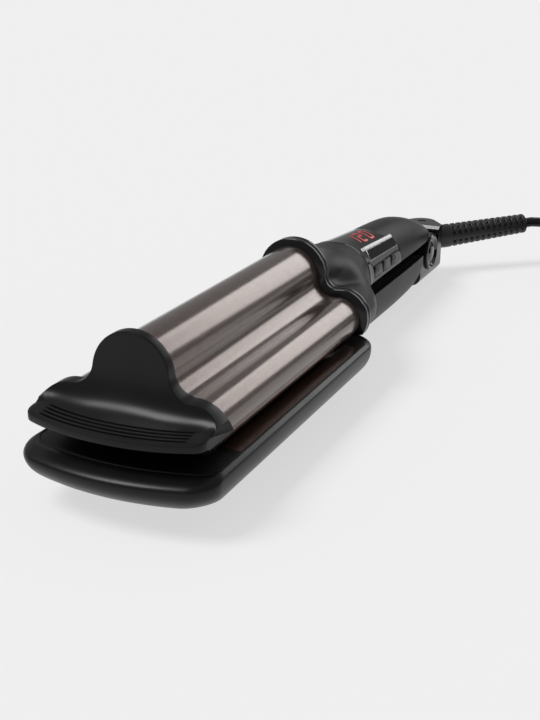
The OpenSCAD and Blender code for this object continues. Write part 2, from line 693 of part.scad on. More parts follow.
// ---- Lower arm ----
// Ring of the tray's inside or outside, turned down from the belt by an angle
function tray_ring(turn, half_w, front_mid, from_z, depth, rear, sink = 0) = let (
    w = half_w * cos(turn),
    z = from_z - depth * sin(turn) / sin(belt_turn),
    reach = 65,
    bulge = 7 * cos(turn),
    front = front_mid + reach * (1 - cos(turn)) + bulge
) at_z(plan(w, front, rear, min(13, w * 0.55), min(13, w * 0.6), bulge), z);

module tray_shell() color([0.12, 0.12, 0.13]) placed() {
    turns = [belt_turn, 60, 45, 30, 15, 0];
    outer = [for (a = turns) tray_ring(a, tray_half_w, -nose_reach, belt_z, shell_depth + belt_z, tray_rear)];
    rim = [
        for (p = [[0.2, -1.6, 1.8], [0.8, -0.9, 3.6], [1.7, -0.2, 5.4]])
            at_z(plan(tray_half_w - p.x, p.z - nose_reach + 7, tray_rear - p.x * 0.4, 13, 13, 7),
                rim_z + p.y + 0.1),
        at_z(plan(rim_half_w, 4, tray_rear - 1.4, 13, 13, 7), rim_z),
        at_z(plan(rim_half_w, 4, tray_rear - 1.4, 13, 13, 7), ledge_z),
    ];
    inner_w = rim_half_w - ledge_w;
    inner = [for (a = [0, 15, 30, 45, 60, belt_turn])
        tray_ring(a, inner_w, 4 + ledge_w - 7, ledge_z, -tray_floor_z + ledge_z, tray_rear - shell_wall - 1)];
    difference() {
        stack(concat(outer, rim, inner));
        for (side = [-1, 1]) rod_y(tray_rear - 6, tray_rear + 2, side * wire_x, wire_z, wire_d + 1.4);
    }
}
wire_x = 6.5;
wire_z = -9;
// Flat end plates of the tray, over the ledge, each with the wall that closes the barrel
module end_block(front, rear, wall_y) {
    translate([0, 0, ledge_z + 0.05]) linear_extrude(rim_z - ledge_z - 0.05) intersection() {
        polygon(plan(rim_half_w - seat_gap, 4 + seat_gap, tray_rear - 1.4 - seat_gap, 13, 13, 7));
        translate([-50, front]) square([100, rear - front]);
    }
    top = barrel_half(hair_gap, trough_a(lobe_r + hair_gap, rim_z));
    inner_w = rim_half_w - ledge_w - 1;
    foot_z = -6;
    intersection() {
        along_y(wall_y, wall_y + bulkhead_t) polygon(both_sides(concat(top,
            [[rim_half_w - seat_gap - 2, rim_z], [rim_half_w - seat_gap - 2, ledge_z + 0.05],
                [inner_w, ledge_z + 0.05], [inner_w, foot_z]])));
        block(-50, 50, wall_y, wall_y + bulkhead_t, -20, 60);
    }
}
module tray_front_block() color([0.06, 0.06, 0.065]) placed() {
    end_block(-20, barrel_front - 0.1, barrel_front - 0.1 - bulkhead_t);
}
module tray_rear_block() color([0.06, 0.06, 0.065]) placed() {
    end_block(barrel_rear + 0.1, tray_rear, barrel_rear + 0.1);
}

// Lower hot plate: a barrel that fits under the dome and a trough under each lobe
module barrel_plate() color([0.72, 0.55, 0.45]) placed() {
    trough_r = lobe_r + hair_gap;
    under_r = trough_r + plate_wall;
    edge_x = rim_half_w - seat_gap;
    over = concat(barrel_half(hair_gap, trough_a(trough_r, rim_z)), [[edge_x, rim_z]]);
    under_z = rim_z - plate_wall;
    under = concat(barrel_half(hair_gap + plate_wall, trough_a(under_r, under_z)), [[edge_x, under_z]]);
    right = concat(over, [for (k = [len(under) - 1:-1:0]) under[k]]);
    along_y(barrel_front, barrel_rear) polygon(concat(right, [for (p = flipped(right)) if (p.x < -0.001) p]));
}
heater_front = barrel_front + 4;
heater_rear = barrel_rear - 6;
barrel_core_r = dome_r - 2 * plate_wall - hair_gap - 0.6;
module barrel_heater() color([0.75, 0.75, 0.77]) placed() {
    rod_y(heater_front, heater_rear, 0, dome_z, 2 * barrel_core_r);
}
trough_low = lobe_z - lobe_r - hair_gap - plate_wall;
trough_heater_t = 2.4;
carrier_top = trough_low - 0.3 - trough_heater_t;
carrier_t = 2;
module trough_heaters() color([0.85, 0.85, 0.8]) placed() {
    for (side = [-1, 1]) block(side * lobe_x - 5, side * lobe_x + 5, heater_front, heater_rear,
        carrier_top, carrier_top + trough_heater_t);
}
// Mica-board frame: it holds the heaters up against the plate and stands on the tray's floor
module heater_carrier() color([0.78, 0.74, 0.65]) placed() {
    block(-27, 27, heater_front, heater_rear, carrier_top - carrier_t, carrier_top);
    block(-1.5, 1.5, heater_front + 2, heater_rear - 2, carrier_top - 0.01, dome_z - barrel_core_r - 0.05);
    for (x = [-5, 5], y = [heater_front + 30, heater_rear - 4])
        translate([x, y, tray_floor_z + 0.3]) cylinder(d = 5, h = carrier_top - tray_floor_z - 1);
}
// Sleeved leads from the lower heaters to the hub
module lower_wires() color([0.75, 0.15, 0.1]) placed() {
    for (side = [-1, 1]) stack(tube([
        [side * lobe_x, heater_rear + 1.6, carrier_top + 0.6], [side * (lobe_x - 2), heater_rear + 6, wire_z],
        [side * wire_x, tray_rear - 6, wire_z], [side * wire_x, tray_rear + 40, wire_z],
        [side * wire_x, hub_front - 5, wire_z]
    ], wire_d / 2, 8));
}

lever_front = tray_rear + 0.05;
lever_top = -lever_drop;
lever_n = 2.3;
lever_width_at = [[lever_front, 1], [lever_rear - 40, 1], [lever_rear - 12, 0.98], [lever_rear, 0.95]];
lever_depth_at = [[lever_front, 1], [lever_rear - 40, 1], [lever_rear - 14, 0.97], [lever_rear, 0.91]];
// Lower handle section at y, taken in by depth, from one upper edge to the other
function lever_row(y, depth) = let (
    w = lever_half_w * lookup(y, lever_width_at) - depth,
    h = (shell_depth - lever_drop) * lookup(y, lever_depth_at) - depth
) [for (a = steps(360, 180, 24))
    [w * sign(cos(a)) * abs(cos(a)) ^ (2 / lever_n), y, lever_top - h * abs(sin(a)) ^ (2 / lever_n)]];
module lever_shell() color([0.13, 0.13, 0.14]) placed() {
    rows = [lever_front, lever_front + 46, for (k = [6:-1:0]) lever_rear - 7 * k];
    difference() {
        union() {
            sheet([for (y = rows) lever_row(y, 0)], [for (y = rows) lever_row(y, shell_wall)]);
            for (y = lever_boss_y) translate([0, y, -shell_depth + shell_wall - 0.5])
                cylinder(d = boss_d, h = shell_depth - shell_wall - lever_drop - cover_plate_t + 0.45);
        }
        for (y = lever_boss_y) translate([0, y, lever_top - cover_plate_t - screw_grip - 1])
            cylinder(d = screw_d - 0.1, h = screw_grip + 2);
    }
}
lever_boss_y = [172, 240];
module lever_cover() color([0.09, 0.09, 0.1]) placed() {
    half = lever_half_w * lever_width_at[3].y - shell_wall - seat_gap - 0.3;
    difference() {
        block(-half, half, lever_front + 0.3, lever_rear - 0.2, lever_top - cover_plate_t, lever_top - 0.05);
        for (y = concat(lever_boss_y, [lever_rear - 6])) translate([0, y, lever_top - cover_plate_t - 1])
            cylinder(d = screw_d + 0.3, h = cover_plate_t + 2);
    }
}
module lever_screws() color([0.6, 0.6, 0.62]) placed() {
    for (y = concat(lever_boss_y, [lever_rear - 6])) {
        translate([0, y, lever_top]) cylinder(d = 4.4, h = 1.3);
        translate([0, y, lever_top - cover_plate_t - screw_grip])
            cylinder(d = screw_d - 0.1, h = screw_grip + cover_plate_t + 0.01);
    }
}

// ---- Hinge and swivel ----
hub_top = swivel_z + ball_r + 0.3 + 2.2;
hub_low = swivel_z - ball_r - 0.3 - 2.2;
hub_front = lever_rear + 0.3;
block_front = hinge_y + 14.9;
slot_half_w = hub_half_w - cheek_t;
module hub_side() {
    polygon([
        [hub_front, -18.2], [hub_front, -hinge_drop - 0.2], [block_front, -hinge_drop - 0.2],
        [block_front, hub_top - 1.5], [block_front + 1.5, hub_top], [hub_rear, hub_top],
        [hub_rear, hub_low], [swivel_y - 3, hub_low - 1], [hinge_y + 13, -18.2]
    ]);
    translate([hinge_y, -hinge_drop]) circle(cheek_r);
}
module hub_plan() {
    translate([-hub_half_w, hub_front - 1]) square([2 * hub_half_w, swivel_y - 4 - hub_front + 1]);
    polygon([[-hub_half_w, swivel_y - 4.1], [hub_half_w, swivel_y - 4.1],
        [swivel_plate_r - 0.6, swivel_y + 3.4], [-swivel_plate_r + 0.6, swivel_y + 3.4]]);
    translate([0, swivel_y]) circle(swivel_plate_r);
}
module hub_section() {
    r = 5;
    low = -18.2;
    polygon(both_sides(concat([[0, 12]], arc([hub_half_w - 1, 11], 1, 90, 0, 3),
        arc([hub_half_w - r, low + r], r, 0, -90, 8), [[0, low]])));
}
module hinge_hub() color([0.06, 0.06, 0.065]) placed() {
    relief_gap = relief_base_d / 2 + 0.6;
    edge = [cos(cord_yaw + 2), -sin(cord_yaw + 2)] * relief_gap;
    way = [sin(cord_yaw + 2), cos(cord_yaw + 2)] * 14;
    difference() {
        union() {
            intersection() {
                along_x(-hub_half_w, hub_half_w) hub_side();
                along_y(hub_front - 1, hub_rear + 1) hub_section();
                translate([0, 0, -40]) linear_extrude(80) hub_plan();
            }
            block(-9.5, 9.5, lever_rear - 14, hub_front + 1, -13, lever_top - cover_plate_t - 0.05);
        }
        difference() {
            union() {
                rod_x(-slot_half_w, slot_half_w, hinge_y, -hinge_drop, 2 * (lug_r + 1.6));
                block(-slot_half_w, slot_half_w, hub_front + 0.4, block_front - 0.01, -hinge_drop - 0.2, 20);
            }
            for (side = [-1, 1]) rod_x(min(side * (lug_half_w + 1), side * slot_half_w) - 0.01,
                max(side * (lug_half_w + 1), side * slot_half_w) + 0.01, hinge_y, -hinge_drop, pin_d + 5);
        }
        rod_x(-hub_half_w - 1, hub_half_w + 1, hinge_y, -hinge_drop, pin_d);
        translate([0, 0, hub_low + 2.2]) linear_extrude(hub_top - hub_low - 4.4) {
            translate([0, swivel_y]) circle(ball_r + 0.6);
            polygon([[edge.x, swivel_y + edge.y], [edge.x, swivel_y + edge.y] + way, [way.x, swivel_y + 20],
                [-way.x, swivel_y + 20], [-edge.x - way.x, swivel_y + edge.y + way.y],
                [-edge.x, swivel_y + edge.y]]);
        }
        translate([0, swivel_y, hub_low - 3]) cylinder(d = trunnion_d + 2 * pin_fit, h = 30);
        translate([0, lever_rear - 6, -12]) cylinder(d = screw_d - 0.1, h = 12);
        for (side = [-1, 1]) rod_y(lever_rear - 15, hub_front - 4, side * wire_x, wire_z, wire_d + 1.4);
    }
}
module hinge_pin() color([0.7, 0.7, 0.72]) placed() {
    rod_x(-hub_half_w, hub_half_w, hinge_y, -hinge_drop, pin_d);
}
module hinge_washers() color([0.85, 0.85, 0.82]) placed() {
    for (side = [-1, 1]) let (x = side * (lug_half_w + 0.5)) difference() {
        rod_x(x - 0.4, x + 0.4, hinge_y, -hinge_drop, pin_d + 5);
        rod_x(x - 1, x + 1, hinge_y, -hinge_drop, pin_d + 0.1);
    }
}
// Domed caps over both ends of the hinge pin
module hinge_cap(side) {
    translate([side * hub_half_w, hinge_y, -hinge_drop]) rotate([0, side * 90, 0]) {
        cylinder(r = hinge_cap_r, h = hinge_cap_t - 0.5);
        translate([0, 0, hinge_cap_t - 0.5]) cylinder(r1 = hinge_cap_r, r2 = hinge_cap_r - 0.8, h = 0.5);
    }
}
module hinge_cap_left() color([0.04, 0.04, 0.045]) placed() hinge_cap(-1);
module hinge_cap_right() color([0.04, 0.04, 0.045]) placed() hinge_cap(1);

// Ball on a vertical trunnion, with the neck that the strain relief is moulded round
module along_cord() {
    translate(swivel_at) rotate([cord_tilt, 0, -cord_yaw]) children();
}
module swivel_ball() color([0.09, 0.09, 0.1]) placed() {
    translate(swivel_at) sphere(ball_r);
    translate([0, swivel_y, hub_low + 0.3]) cylinder(d = trunnion_d, h = hub_top - hub_low - 0.6);
    along_cord() rod_y(0, relief_start - 0.05, 0, 0, 11.6);
}
relief_ribs_start = relief_start + relief_base_len;
rib_pitch = (relief_reach - relief_ribs_start - rib_w) / (rib_count - 1);
function relief_d(y) = relief_base_d
    + (relief_end_d - relief_base_d) * max(y - relief_ribs_start, 0) / (relief_reach - relief_ribs_start);
module strain_relief() color([0.1, 0.1, 0.105]) placed() along_cord() difference() {
    union() {
        rod_y(relief_start, relief_ribs_start, 0, 0, relief_base_d);
        cone_y(relief_ribs_start, relief_reach, relief_base_d - 4.4, relief_end_d - 3.2);
        for (k = [0:rib_count - 1]) let (y = relief_ribs_start + k * rib_pitch)
            cone_y(y, y + rib_w, relief_d(y), relief_d(y + rib_w));
        intersection() {
            cone_y(relief_ribs_start, relief_reach, relief_base_d - 0.4, relief_end_d - 0.4);
            block(-10, 10, relief_ribs_start - 1, relief_reach + 1, -2.3, 2.3);
        }
    }
    rod_y(relief_start + 2, relief_reach + 1, 0, 0, cord_d + 0.1);
}
module cone_y(y0, y1, d0, d1) {
    translate([0, y0, 0]) rotate([-90, 0, 0]) cylinder(d1 = d0, d2 = d1, h = y1 - y0);
}

// Rings of a tube swept along points; first and last ring are square to their run
function tube(route, r, sides) = let (
    last = len(route) - 1,
    dirs = [for (k = [0:last - 1]) (route[k + 1] - route[k]) / norm(route[k + 1] - route[k])],
    tangents = [for (k = [0:last])
        let (d = (k == 0 ? dirs[0] : k == last ? dirs[last - 1] : dirs[k - 1] + dirs[k])) d / norm(d)]
) [for (k = [0:last]) let (
    t = tangents[k],
    side = cross(t, [0, 0, 1]) / norm(cross(t, [0, 0, 1])),
    up = cross(t, side)
) [for (i = [0:sides - 1]) let (a = 360 * i / sides) route[k] + r * (cos(a) * side + sin(a) * up)]];
// Smooth curve through points, with n steps in each span
function curve(points, n) = let (last = len(points) - 1) [
    for (k = [0:last - 1], i = [0:n - 1]) let (
        t = i / n,
        a = points[max(k - 1, 0)],
        b = points[k],
        c = points[k + 1],
        d = points[min(k + 2, last)]
    ) 0.5 * (2 * b + (c - a) * t + (2 * a - 5 * b + 4 * c - d) * t ^ 2 + (3 * b - a - 3 * c + d) * t ^ 3),
    points[last]
];

// Coil of four layers: it winds in and out again, and climbs a layer where it turns back
COIL_LAYERS = 4;
coil_at = [117, 343.8];
coil_pitch = cord_d + coil_gap;
coil_turns = COIL_LAYERS * loops_per_layer;
coil_start_a = 90;
// Turn t of the coil: the radius falls over one layer and grows over the next
function coil_in(t) = loops_per_layer - abs(loops_per_layer - (t % (2 * loops_per_layer)));
function coil_climb(t) = [for (k = [1:COIL_LAYERS - 1]) ease((t - k * loops_per_layer + 0.25) * 2)]
    * [for (k = [1:COIL_LAYERS - 1]) coil_pitch];
function coil_pt(t) = let (a = coil_start_a - 360 * t, r = coil_r - coil_pitch * coil_in(t))
    [coil_at.x + r * cos(a), coil_at.y + r * sin(a), cord_z + coil_climb(t)];
coil_points = [for (k = [0:coil_turns * COIL_RINGS]) coil_pt(k / COIL_RINGS)];
function run_out(p, q, far) = p + (p - q) / norm(p - q) * far;
coil_first = run_out(coil_points[0], coil_points[1], cord_d);
coil_last = run_out(coil_points[len(coil_points) - 1], coil_points[len(coil_points) - 2], cord_d);
coil_route = concat([coil_first], coil_points, [coil_last]);
// Least distance between middle lines more than half a turn apart, less the cord
coil_least_gap = min([for (i = [0:2:len(coil_points) - 1], j = [i + 12:2:len(coil_points) - 1])
    norm(coil_points[i] - coil_points[j])]) - cord_d;
echo(coil_least_gap = coil_least_gap);

// Points of the free cord: from the strain relief to the coil, and from the coil to the plug on top
lead_mid = [[62, 375, 1], [73, 379.5, -6], [84, 381, -13.5], [94, 380.5, -18.5]];
tail_mid = [[135.5, 378, 0.5], [143, 371.5, 3.6], [147.8, 363, 6.8], [148, 354.5, 8.5]];
plug_at = [135, 344.5, cord_z + (COIL_LAYERS - 1) * coil_pitch + cord_r + 0.3 + plug_t / 2];
plug_yaw = -113;
plug_dir = [sin(plug_yaw), cos(plug_yaw), 0];
plug_neck = 12;
// Gap between the faces of two lengths of cord
joint_gap = 0.05;
module cord_lead() color([0.05, 0.05, 0.055]) placed() {
    start = relief_tip + relief_dir * joint_gap;
    end = run_out(coil_first, coil_points[0], joint_gap);
    stack(tube(concat(
        [start],
        curve(concat([relief_tip + relief_dir * cord_d], lead_mid, [run_out(end, coil_first, cord_d)]), 2),
        [end]
    ), cord_r, LEAD_SIDES));
}
module cord_coil() color([0.05, 0.05, 0.055]) placed() {
    stack(tube(coil_route, cord_r, COIL_SIDES));
}
module cord_tail() color([0.05, 0.05, 0.055]) placed() {
    start = run_out(coil_last, coil_points[len(coil_points) - 1], joint_gap);
    end = plug_at - plug_dir * joint_gap;
    stack(tube(concat(
        [start], curve(concat([run_out(start, coil_last, cord_d)], tail_mid, [end - plug_dir * cord_d]), 2),
        [end]
    ), cord_r, LEAD_SIDES));
}
module along_plug() {
    translate(plug_at) rotate([0, 0, -plug_yaw]) children();
}
// Flat two-pin plug: a neck for the cord, then a body that widens to the face
module plug_body() color([0.06, 0.06, 0.065]) placed() along_plug() {
    outline = [
        [cord_r + 3, plug_neck - 3], [plug_w / 2 - 2, plug_neck + 9], [plug_w / 2, plug_neck + 12],
        [plug_w / 2, plug_len - 1], [plug_w / 2 - 1, plug_len]
    ];
    profile = [
        [cord_r + 2.4, plug_neck - 3], [plug_t / 2, plug_neck + 8], [plug_t / 2, plug_len - 1],
        [plug_t / 2 - 1, plug_len]
    ];
    difference() {
        union() {
            intersection() {
                translate([0, 0, -plug_t / 2]) linear_extrude(plug_t)
                    polygon(concat(outline, flipped(outline)));
                along_x(-plug_w / 2, plug_w / 2)
                    polygon(concat([for (p = profile) [p.y, p.x]],
                        [for (k = [len(profile) - 1:-1:0]) [profile[k].y, -profile[k].x]]));
            }
            rod_y(0, plug_neck, 0, 0, cord_d + 2.4);
            for (y = [1:3:plug_neck - 2]) rod_y(y, y + 1.4, 0, 0, cord_d + 4.2);
        }
        for (side = [-1, 1]) rod_y(plug_len - 8, plug_len + 1, side * plug_pin_pitch / 2, 0, plug_pin_d);
    }
}
module plug_pins() color([0.8, 0.8, 0.78]) placed() along_plug() {
    for (side = [-1, 1]) {
        rod_y(plug_len - 8, plug_len + plug_pin_len - 1, side * plug_pin_pitch / 2, 0, plug_pin_d);
        translate([side * plug_pin_pitch / 2, 0, 0])
            cone_y(plug_len + plug_pin_len - 1.01, plug_len + plug_pin_len, plug_pin_d, plug_pin_d - 1.4);
    }
}

wave_plate();
front_cap();
rear_collar();
upper_heaters();
temperature_sensor();
thermal_fuse();
handle_cover();
handle_base();
handle_screws();
hinge_knuckle();
upper_wires();
control_panel();
panel_inlay();
display_module();
main_board();
switch_board();
tactile_switches();
button_minus();
button_power();
button_plus();
tray_shell();
tray_front_block();
tray_rear_block();
barrel_plate();
barrel_heater();
trough_heaters();
heater_carrier();
lower_wires();
lever_shell();
lever_cover();
lever_screws();
hinge_hub();
hinge_pin();
hinge_washers();
hinge_cap_left();
hinge_cap_right();
swivel_ball();
strain_relief();
cord_lead();
cord_coil();
cord_tail();
plug_body();
plug_pins();
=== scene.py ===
"""Hair waver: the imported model, dressed with finer surfaces and finishes.

Sizes are in millimetres, taken from the corners of the front lip and the closing plane
of the jaws; place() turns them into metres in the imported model's frame.
"""
import json
import math

import bmesh
import bpy
from mathutils import Matrix, Vector


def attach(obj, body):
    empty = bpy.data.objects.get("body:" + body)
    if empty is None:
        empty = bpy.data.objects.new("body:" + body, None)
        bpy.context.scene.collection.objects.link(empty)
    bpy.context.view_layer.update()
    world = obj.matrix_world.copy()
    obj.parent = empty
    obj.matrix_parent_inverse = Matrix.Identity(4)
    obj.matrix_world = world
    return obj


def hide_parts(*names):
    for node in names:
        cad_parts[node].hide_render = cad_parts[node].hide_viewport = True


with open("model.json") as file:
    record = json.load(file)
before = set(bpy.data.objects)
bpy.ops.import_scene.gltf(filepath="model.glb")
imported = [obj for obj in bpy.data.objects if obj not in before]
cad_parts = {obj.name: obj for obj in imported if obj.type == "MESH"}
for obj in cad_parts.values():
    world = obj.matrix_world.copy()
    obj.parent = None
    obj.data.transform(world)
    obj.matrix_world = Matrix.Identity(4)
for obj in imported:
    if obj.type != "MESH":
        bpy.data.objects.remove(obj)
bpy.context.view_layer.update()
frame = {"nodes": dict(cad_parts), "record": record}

MM = 0.001
MIDDLE_Y = 161.25
ARM_DEPTH = 22.8


def place(x, y, z):
    return Vector((x, y - MIDDLE_Y, z + ARM_DEPTH)) * MM


def heading(yaw, climb=0):
    """Unit direction from a turn away from +y towards +x and a climb."""
    return Vector((math.sin(yaw) * math.cos(climb), math.cos(yaw) * math.cos(climb), math.sin(climb)))


# ---- Camera ----
VIEW_YAW = math.radians(-24.82)
VIEW_CLIMB = math.radians(-20.515)
camera = bpy.data.objects.new("camera", bpy.data.cameras.new("camera"))
camera.data.sensor_width = 36
camera.data.lens = 56.67
camera.data.clip_start = 0.01
camera.data.clip_end = 50
camera.location = place(184.947, -279.233, 158.0)
camera.rotation_mode = "QUATERNION"
camera.rotation_quaternion = heading(VIEW_YAW, VIEW_CLIMB).to_track_quat("-Z", "Y")
bpy.context.scene.collection.objects.link(camera)
bpy.context.scene.camera = camera


# ---- Finishes ----
COLOUR_A, COLOUR_B, COLOUR_OUT = 6, 7, 2


class Value:
    """A node's output that takes arithmetic; colours and vectors go through Mix and Vector Math."""

    def __init__(self, shade, socket):
        self.shade = shade
        self.socket = socket

    def math(self, operation, first, second):
        return self.shade.node("ShaderNodeMath", {"operation": operation}, {0: first, 1: second})

    def __add__(self, other):
        return self.math("ADD", self, other)

    __radd__ = __add__

    def __mul__(self, other):
        return self.math("MULTIPLY", self, other)

    def __sub__(self, other):
        return self.math("SUBTRACT", self, other)

    def ramp(self, low, high, to_low=0.0, to_high=1.0):
        """Smooth step of this value from one range to another."""
        inputs = {"Value": self, "From Min": low, "From Max": high, "To Min": to_low, "To Max": to_high}
        return self.shade.node("ShaderNodeMapRange", {"interpolation_type": "SMOOTHSTEP"}, inputs)


class Shade:
    """A material under construction, with one Principled shader."""

    def __init__(self, name):
        self.material = bpy.data.materials.new(name)
        self.material.use_nodes = True
        self.tree = self.material.node_tree
        self.shader = self.tree.nodes["Principled BSDF"]

    def node(self, kind, settings, inputs, output=0):
        made = self.tree.nodes.new(kind)
        for key, value in settings.items():
            setattr(made, key, value)
        for key, value in inputs.items():
            self.feed(made.inputs[key], value)
        return Value(self, made.outputs[output])

    def feed(self, socket, value):
        if isinstance(value, Value):
            self.tree.links.new(value.socket, socket)
        elif isinstance(value, tuple) and len(value) == 3 and socket.type == "RGBA":
            socket.default_value = (*value, 1)
        else:
            socket.default_value = value

    def set(self, **values):
        for key, value in values.items():
            self.feed(self.shader.inputs[key.replace("_", " ")], value)
        return self.material

    def place(self):
        return self.node("ShaderNodeTexCoord", {}, {}, "Object")

    def stretched(self, x, y, z):
        return self.node("ShaderNodeVectorMath", {"operation": "MULTIPLY"}, {0: self.place(), 1: (x, y, z)})

    def noise(self, scale, detail=2.0, vector=None, roughness=0.5):
        inputs = {"Vector": vector or self.place(), "Scale": scale, "Detail": detail, "Roughness": roughness}
        return self.node("ShaderNodeTexNoise", {}, inputs, "Fac")

    def mix(self, amount, first, second):
        made = self.tree.nodes.new("ShaderNodeMix")
        made.data_type = "RGBA"
        self.feed(made.inputs["Factor"], amount)
        self.feed(made.inputs[COLOUR_A], first)
        self.feed(made.inputs[COLOUR_B], second)
        return Value(self, made.outputs[COLOUR_OUT])

    def bump(self, height, strength, distance):
        inputs = {"Height": height, "Strength": strength, "Distance": distance}
        return self.node("ShaderNodeBump", {}, inputs, "Normal")


FINE_GRAIN = 2600
HAND_WEAR = 45
COOL_TINT = (1, 1, 1.04)


def soft_black(name, colour, rough, grain, specular=0.22):
    """Soft-touch or moulded black plastic: a fine spark-eroded grain and faint handling marks."""
    s = Shade(name)
    wear = s.noise(HAND_WEAR, 3)
    grain_height = s.noise(FINE_GRAIN, 2)
    base = tuple(colour * t for t in COOL_TINT)
    worn = tuple(colour * 1.5 * t for t in COOL_TINT)
    return s.set(
        Base_Color=s.mix(wear.ramp(0.35, 0.75), base, worn),
        Roughness=rough + (wear - 0.5) * 0.10 + (grain_height - 0.5) * 0.10,
        Specular_IOR_Level=specular,
        Normal=s.bump(grain_height, grain, 0.00006),
    )


def gloss_black(name, colour, rough, specular=0.5):
    """Polished black plastic with faint wiping marks."""
    s = Shade(name)
    marks = s.noise(60, 4, s.stretched(1, 0.2, 1))
    return s.set(
        Base_Color=s.mix(marks, (colour,) * 3, (colour * 1.6,) * 3),
        Roughness=rough + marks.ramp(0.45, 0.8) * 0.06,
        Specular_IOR_Level=specular,
    )


MICA_FLAKES = 3800


def hot_plate(name, dark, light, rough, coat):
    """Ceramic coating with mica: a brown metal under a clear layer, with a fine sparkle."""
    s = Shade(name)
    flakes = s.noise(MICA_FLAKES, 2, roughness=0.7)
    clouds = s.noise(220, 3)
    sparkle = flakes.ramp(0.42, 0.68)
    return s.set(
        Base_Color=s.mix(sparkle * 0.75 + clouds * 0.25, dark, light),
        Metallic=0.6,
        Roughness=rough + (flakes - 0.5) * 0.16,
        Coat_Weight=coat,
        Coat_Roughness=0.15,
    )


def metal(name, colour, rough, metallic=1.0, along=(1, 1, 1)):
    """Bare or plated metal with fine lines, which run along an axis where its scale is small."""
    s = Shade(name)
    lines = s.noise(900, 3, s.stretched(*along))
    return s.set(
        Base_Color=s.mix(lines * 0.5, colour, tuple(c * 0.8 for c in colour)),
        Metallic=metallic,
        Roughness=rough + (lines - 0.5) * 0.15,
        Normal=s.bump(lines, 0.1, 0.00002),
    )


def dull(name, colour, rough, scale=700, depth=0.15, specular=0.4):
    """Plain moulded or pressed material with a speckle."""
    s = Shade(name)
    speck = s.noise(scale, 3)
    return s.set(
        Base_Color=s.mix(speck, colour, tuple(c * 0.75 for c in colour)),
        Roughness=rough + (speck - 0.5) * 0.15,
        Specular_IOR_Level=specular,
        Normal=s.bump(speck, depth, 0.00005),
    )


def glowing(name, colour, strength):
    """Lit figure behind a dark window."""
    s = Shade(name)
    glow = s.noise(400, 1).ramp(0.2, 0.8, 0.85, 1.0)
    return s.set(
        Base_Color=(0.05, 0.0, 0.0),
        Roughness=0.4,
        Emission_Color=s.mix(glow, (0, 0, 0), colour),
        Emission_Strength=strength,
    )


finishes = {
    "wave_plate": hot_plate("rose_brown_coating", (0.06, 0.038, 0.031), (0.2, 0.155, 0.138), 0.24, 0.5),
    "barrel_plate": hot_plate("rose_brown_lower", (0.085, 0.046, 0.03), (0.19, 0.12, 0.085), 0.22, 0.8),
    "black_shell": soft_black("soft_black", 0.004, 0.32, 0.05),
    "collar_plastic": soft_black("collar_black", 0.003, 0.2, 0.03, specular=0.3),
    "handle_shell": soft_black("handle_black", 0.004, 0.38, 0.06, specular=0.13),
    "inner_plastic": soft_black("inner_black", 0.005, 0.5, 0.15),
    "block_plastic": soft_black("block_black", 0.003, 0.5, 0.12),
    "panel_gloss": gloss_black("panel_black", 0.003, 0.1, 0.22),
    "inlay_gloss": gloss_black("bar_black", 0.002, 0.04, 0.1),
    "display_red": dull("display_red", (0.35, 0.02, 0.02), 0.5),
    "circuit_board": dull("board_green", (0.03, 0.16, 0.06), 0.45, 500),
    "switch_plastic": dull("switch_grey", (0.1, 0.1, 0.105), 0.5),
    "button_plastic": soft_black("button_black", 0.007, 0.34, 0.08),
    "heater_metal": metal("heater_aluminium", (0.62, 0.62, 0.64), 0.35),
    "sensor_glass": dull("sensor_amber", (0.6, 0.48, 0.25), 0.2, 300, 0.02, 0.5),
    "carrier_board": dull("carrier_mica", (0.5, 0.45, 0.34), 0.7, 350),
    "wire_sleeve": dull("wire_red", (0.4, 0.04, 0.02), 0.5),
    "screw_steel": metal("screw_zinc", (0.5, 0.5, 0.52), 0.3),
    "pin_steel": metal("pin_ground", (0.55, 0.55, 0.57), 0.2),
    "washer_nylon": dull("washer_white", (0.6, 0.59, 0.55), 0.5),
    "hub_gloss": soft_black("hub_black", 0.006, 0.2, 0.04, specular=0.5),
    "cap_gloss": gloss_black("disc_black", 0.003, 0.05, 0.7),
    "swivel_plastic": gloss_black("swivel_black", 0.006, 0.18),
    "relief_rubber": soft_black("relief_black", 0.012, 0.36, 0.08, specular=0.4),
    "cord_rubber": soft_black("cord_black", 0.006, 0.30, 0.05),
    "plug_rubber": soft_black("plug_black", 0.006, 0.42, 0.12),
    "plug_metal": metal("pin_nickel", (0.6, 0.59, 0.56), 0.15),
}
slot_of = {part["node"]: part["material_slot"] for part in frame["record"]["subparts"]}
for node_name, node_object in frame["nodes"].items():
    node_object.data.materials.clear()
    node_object.data.materials.append(finishes[slot_of[node_name]])


# ---- Making pieces ----
def polar(centre, radius, angle):
    a = math.radians(angle)
    return (centre[0] + radius * math.cos(a), centre[1] + radius * math.sin(a))


def arc(centre, radius, start, stop, count):
    """Points of an arc, in degrees, both ends included."""
    return [polar(centre, radius, start + (stop - start) * k / count) for k in range(count + 1)]


def ease(t):
    """Smooth step from 0 to 1."""
    t = min(max(t, 0), 1)
    return t * t * (3 - 2 * t)


def steps(start, stop, count):
    """Even steps from start to stop, both included."""
    return [start + (stop - start) * k / count for k in range(count + 1)]


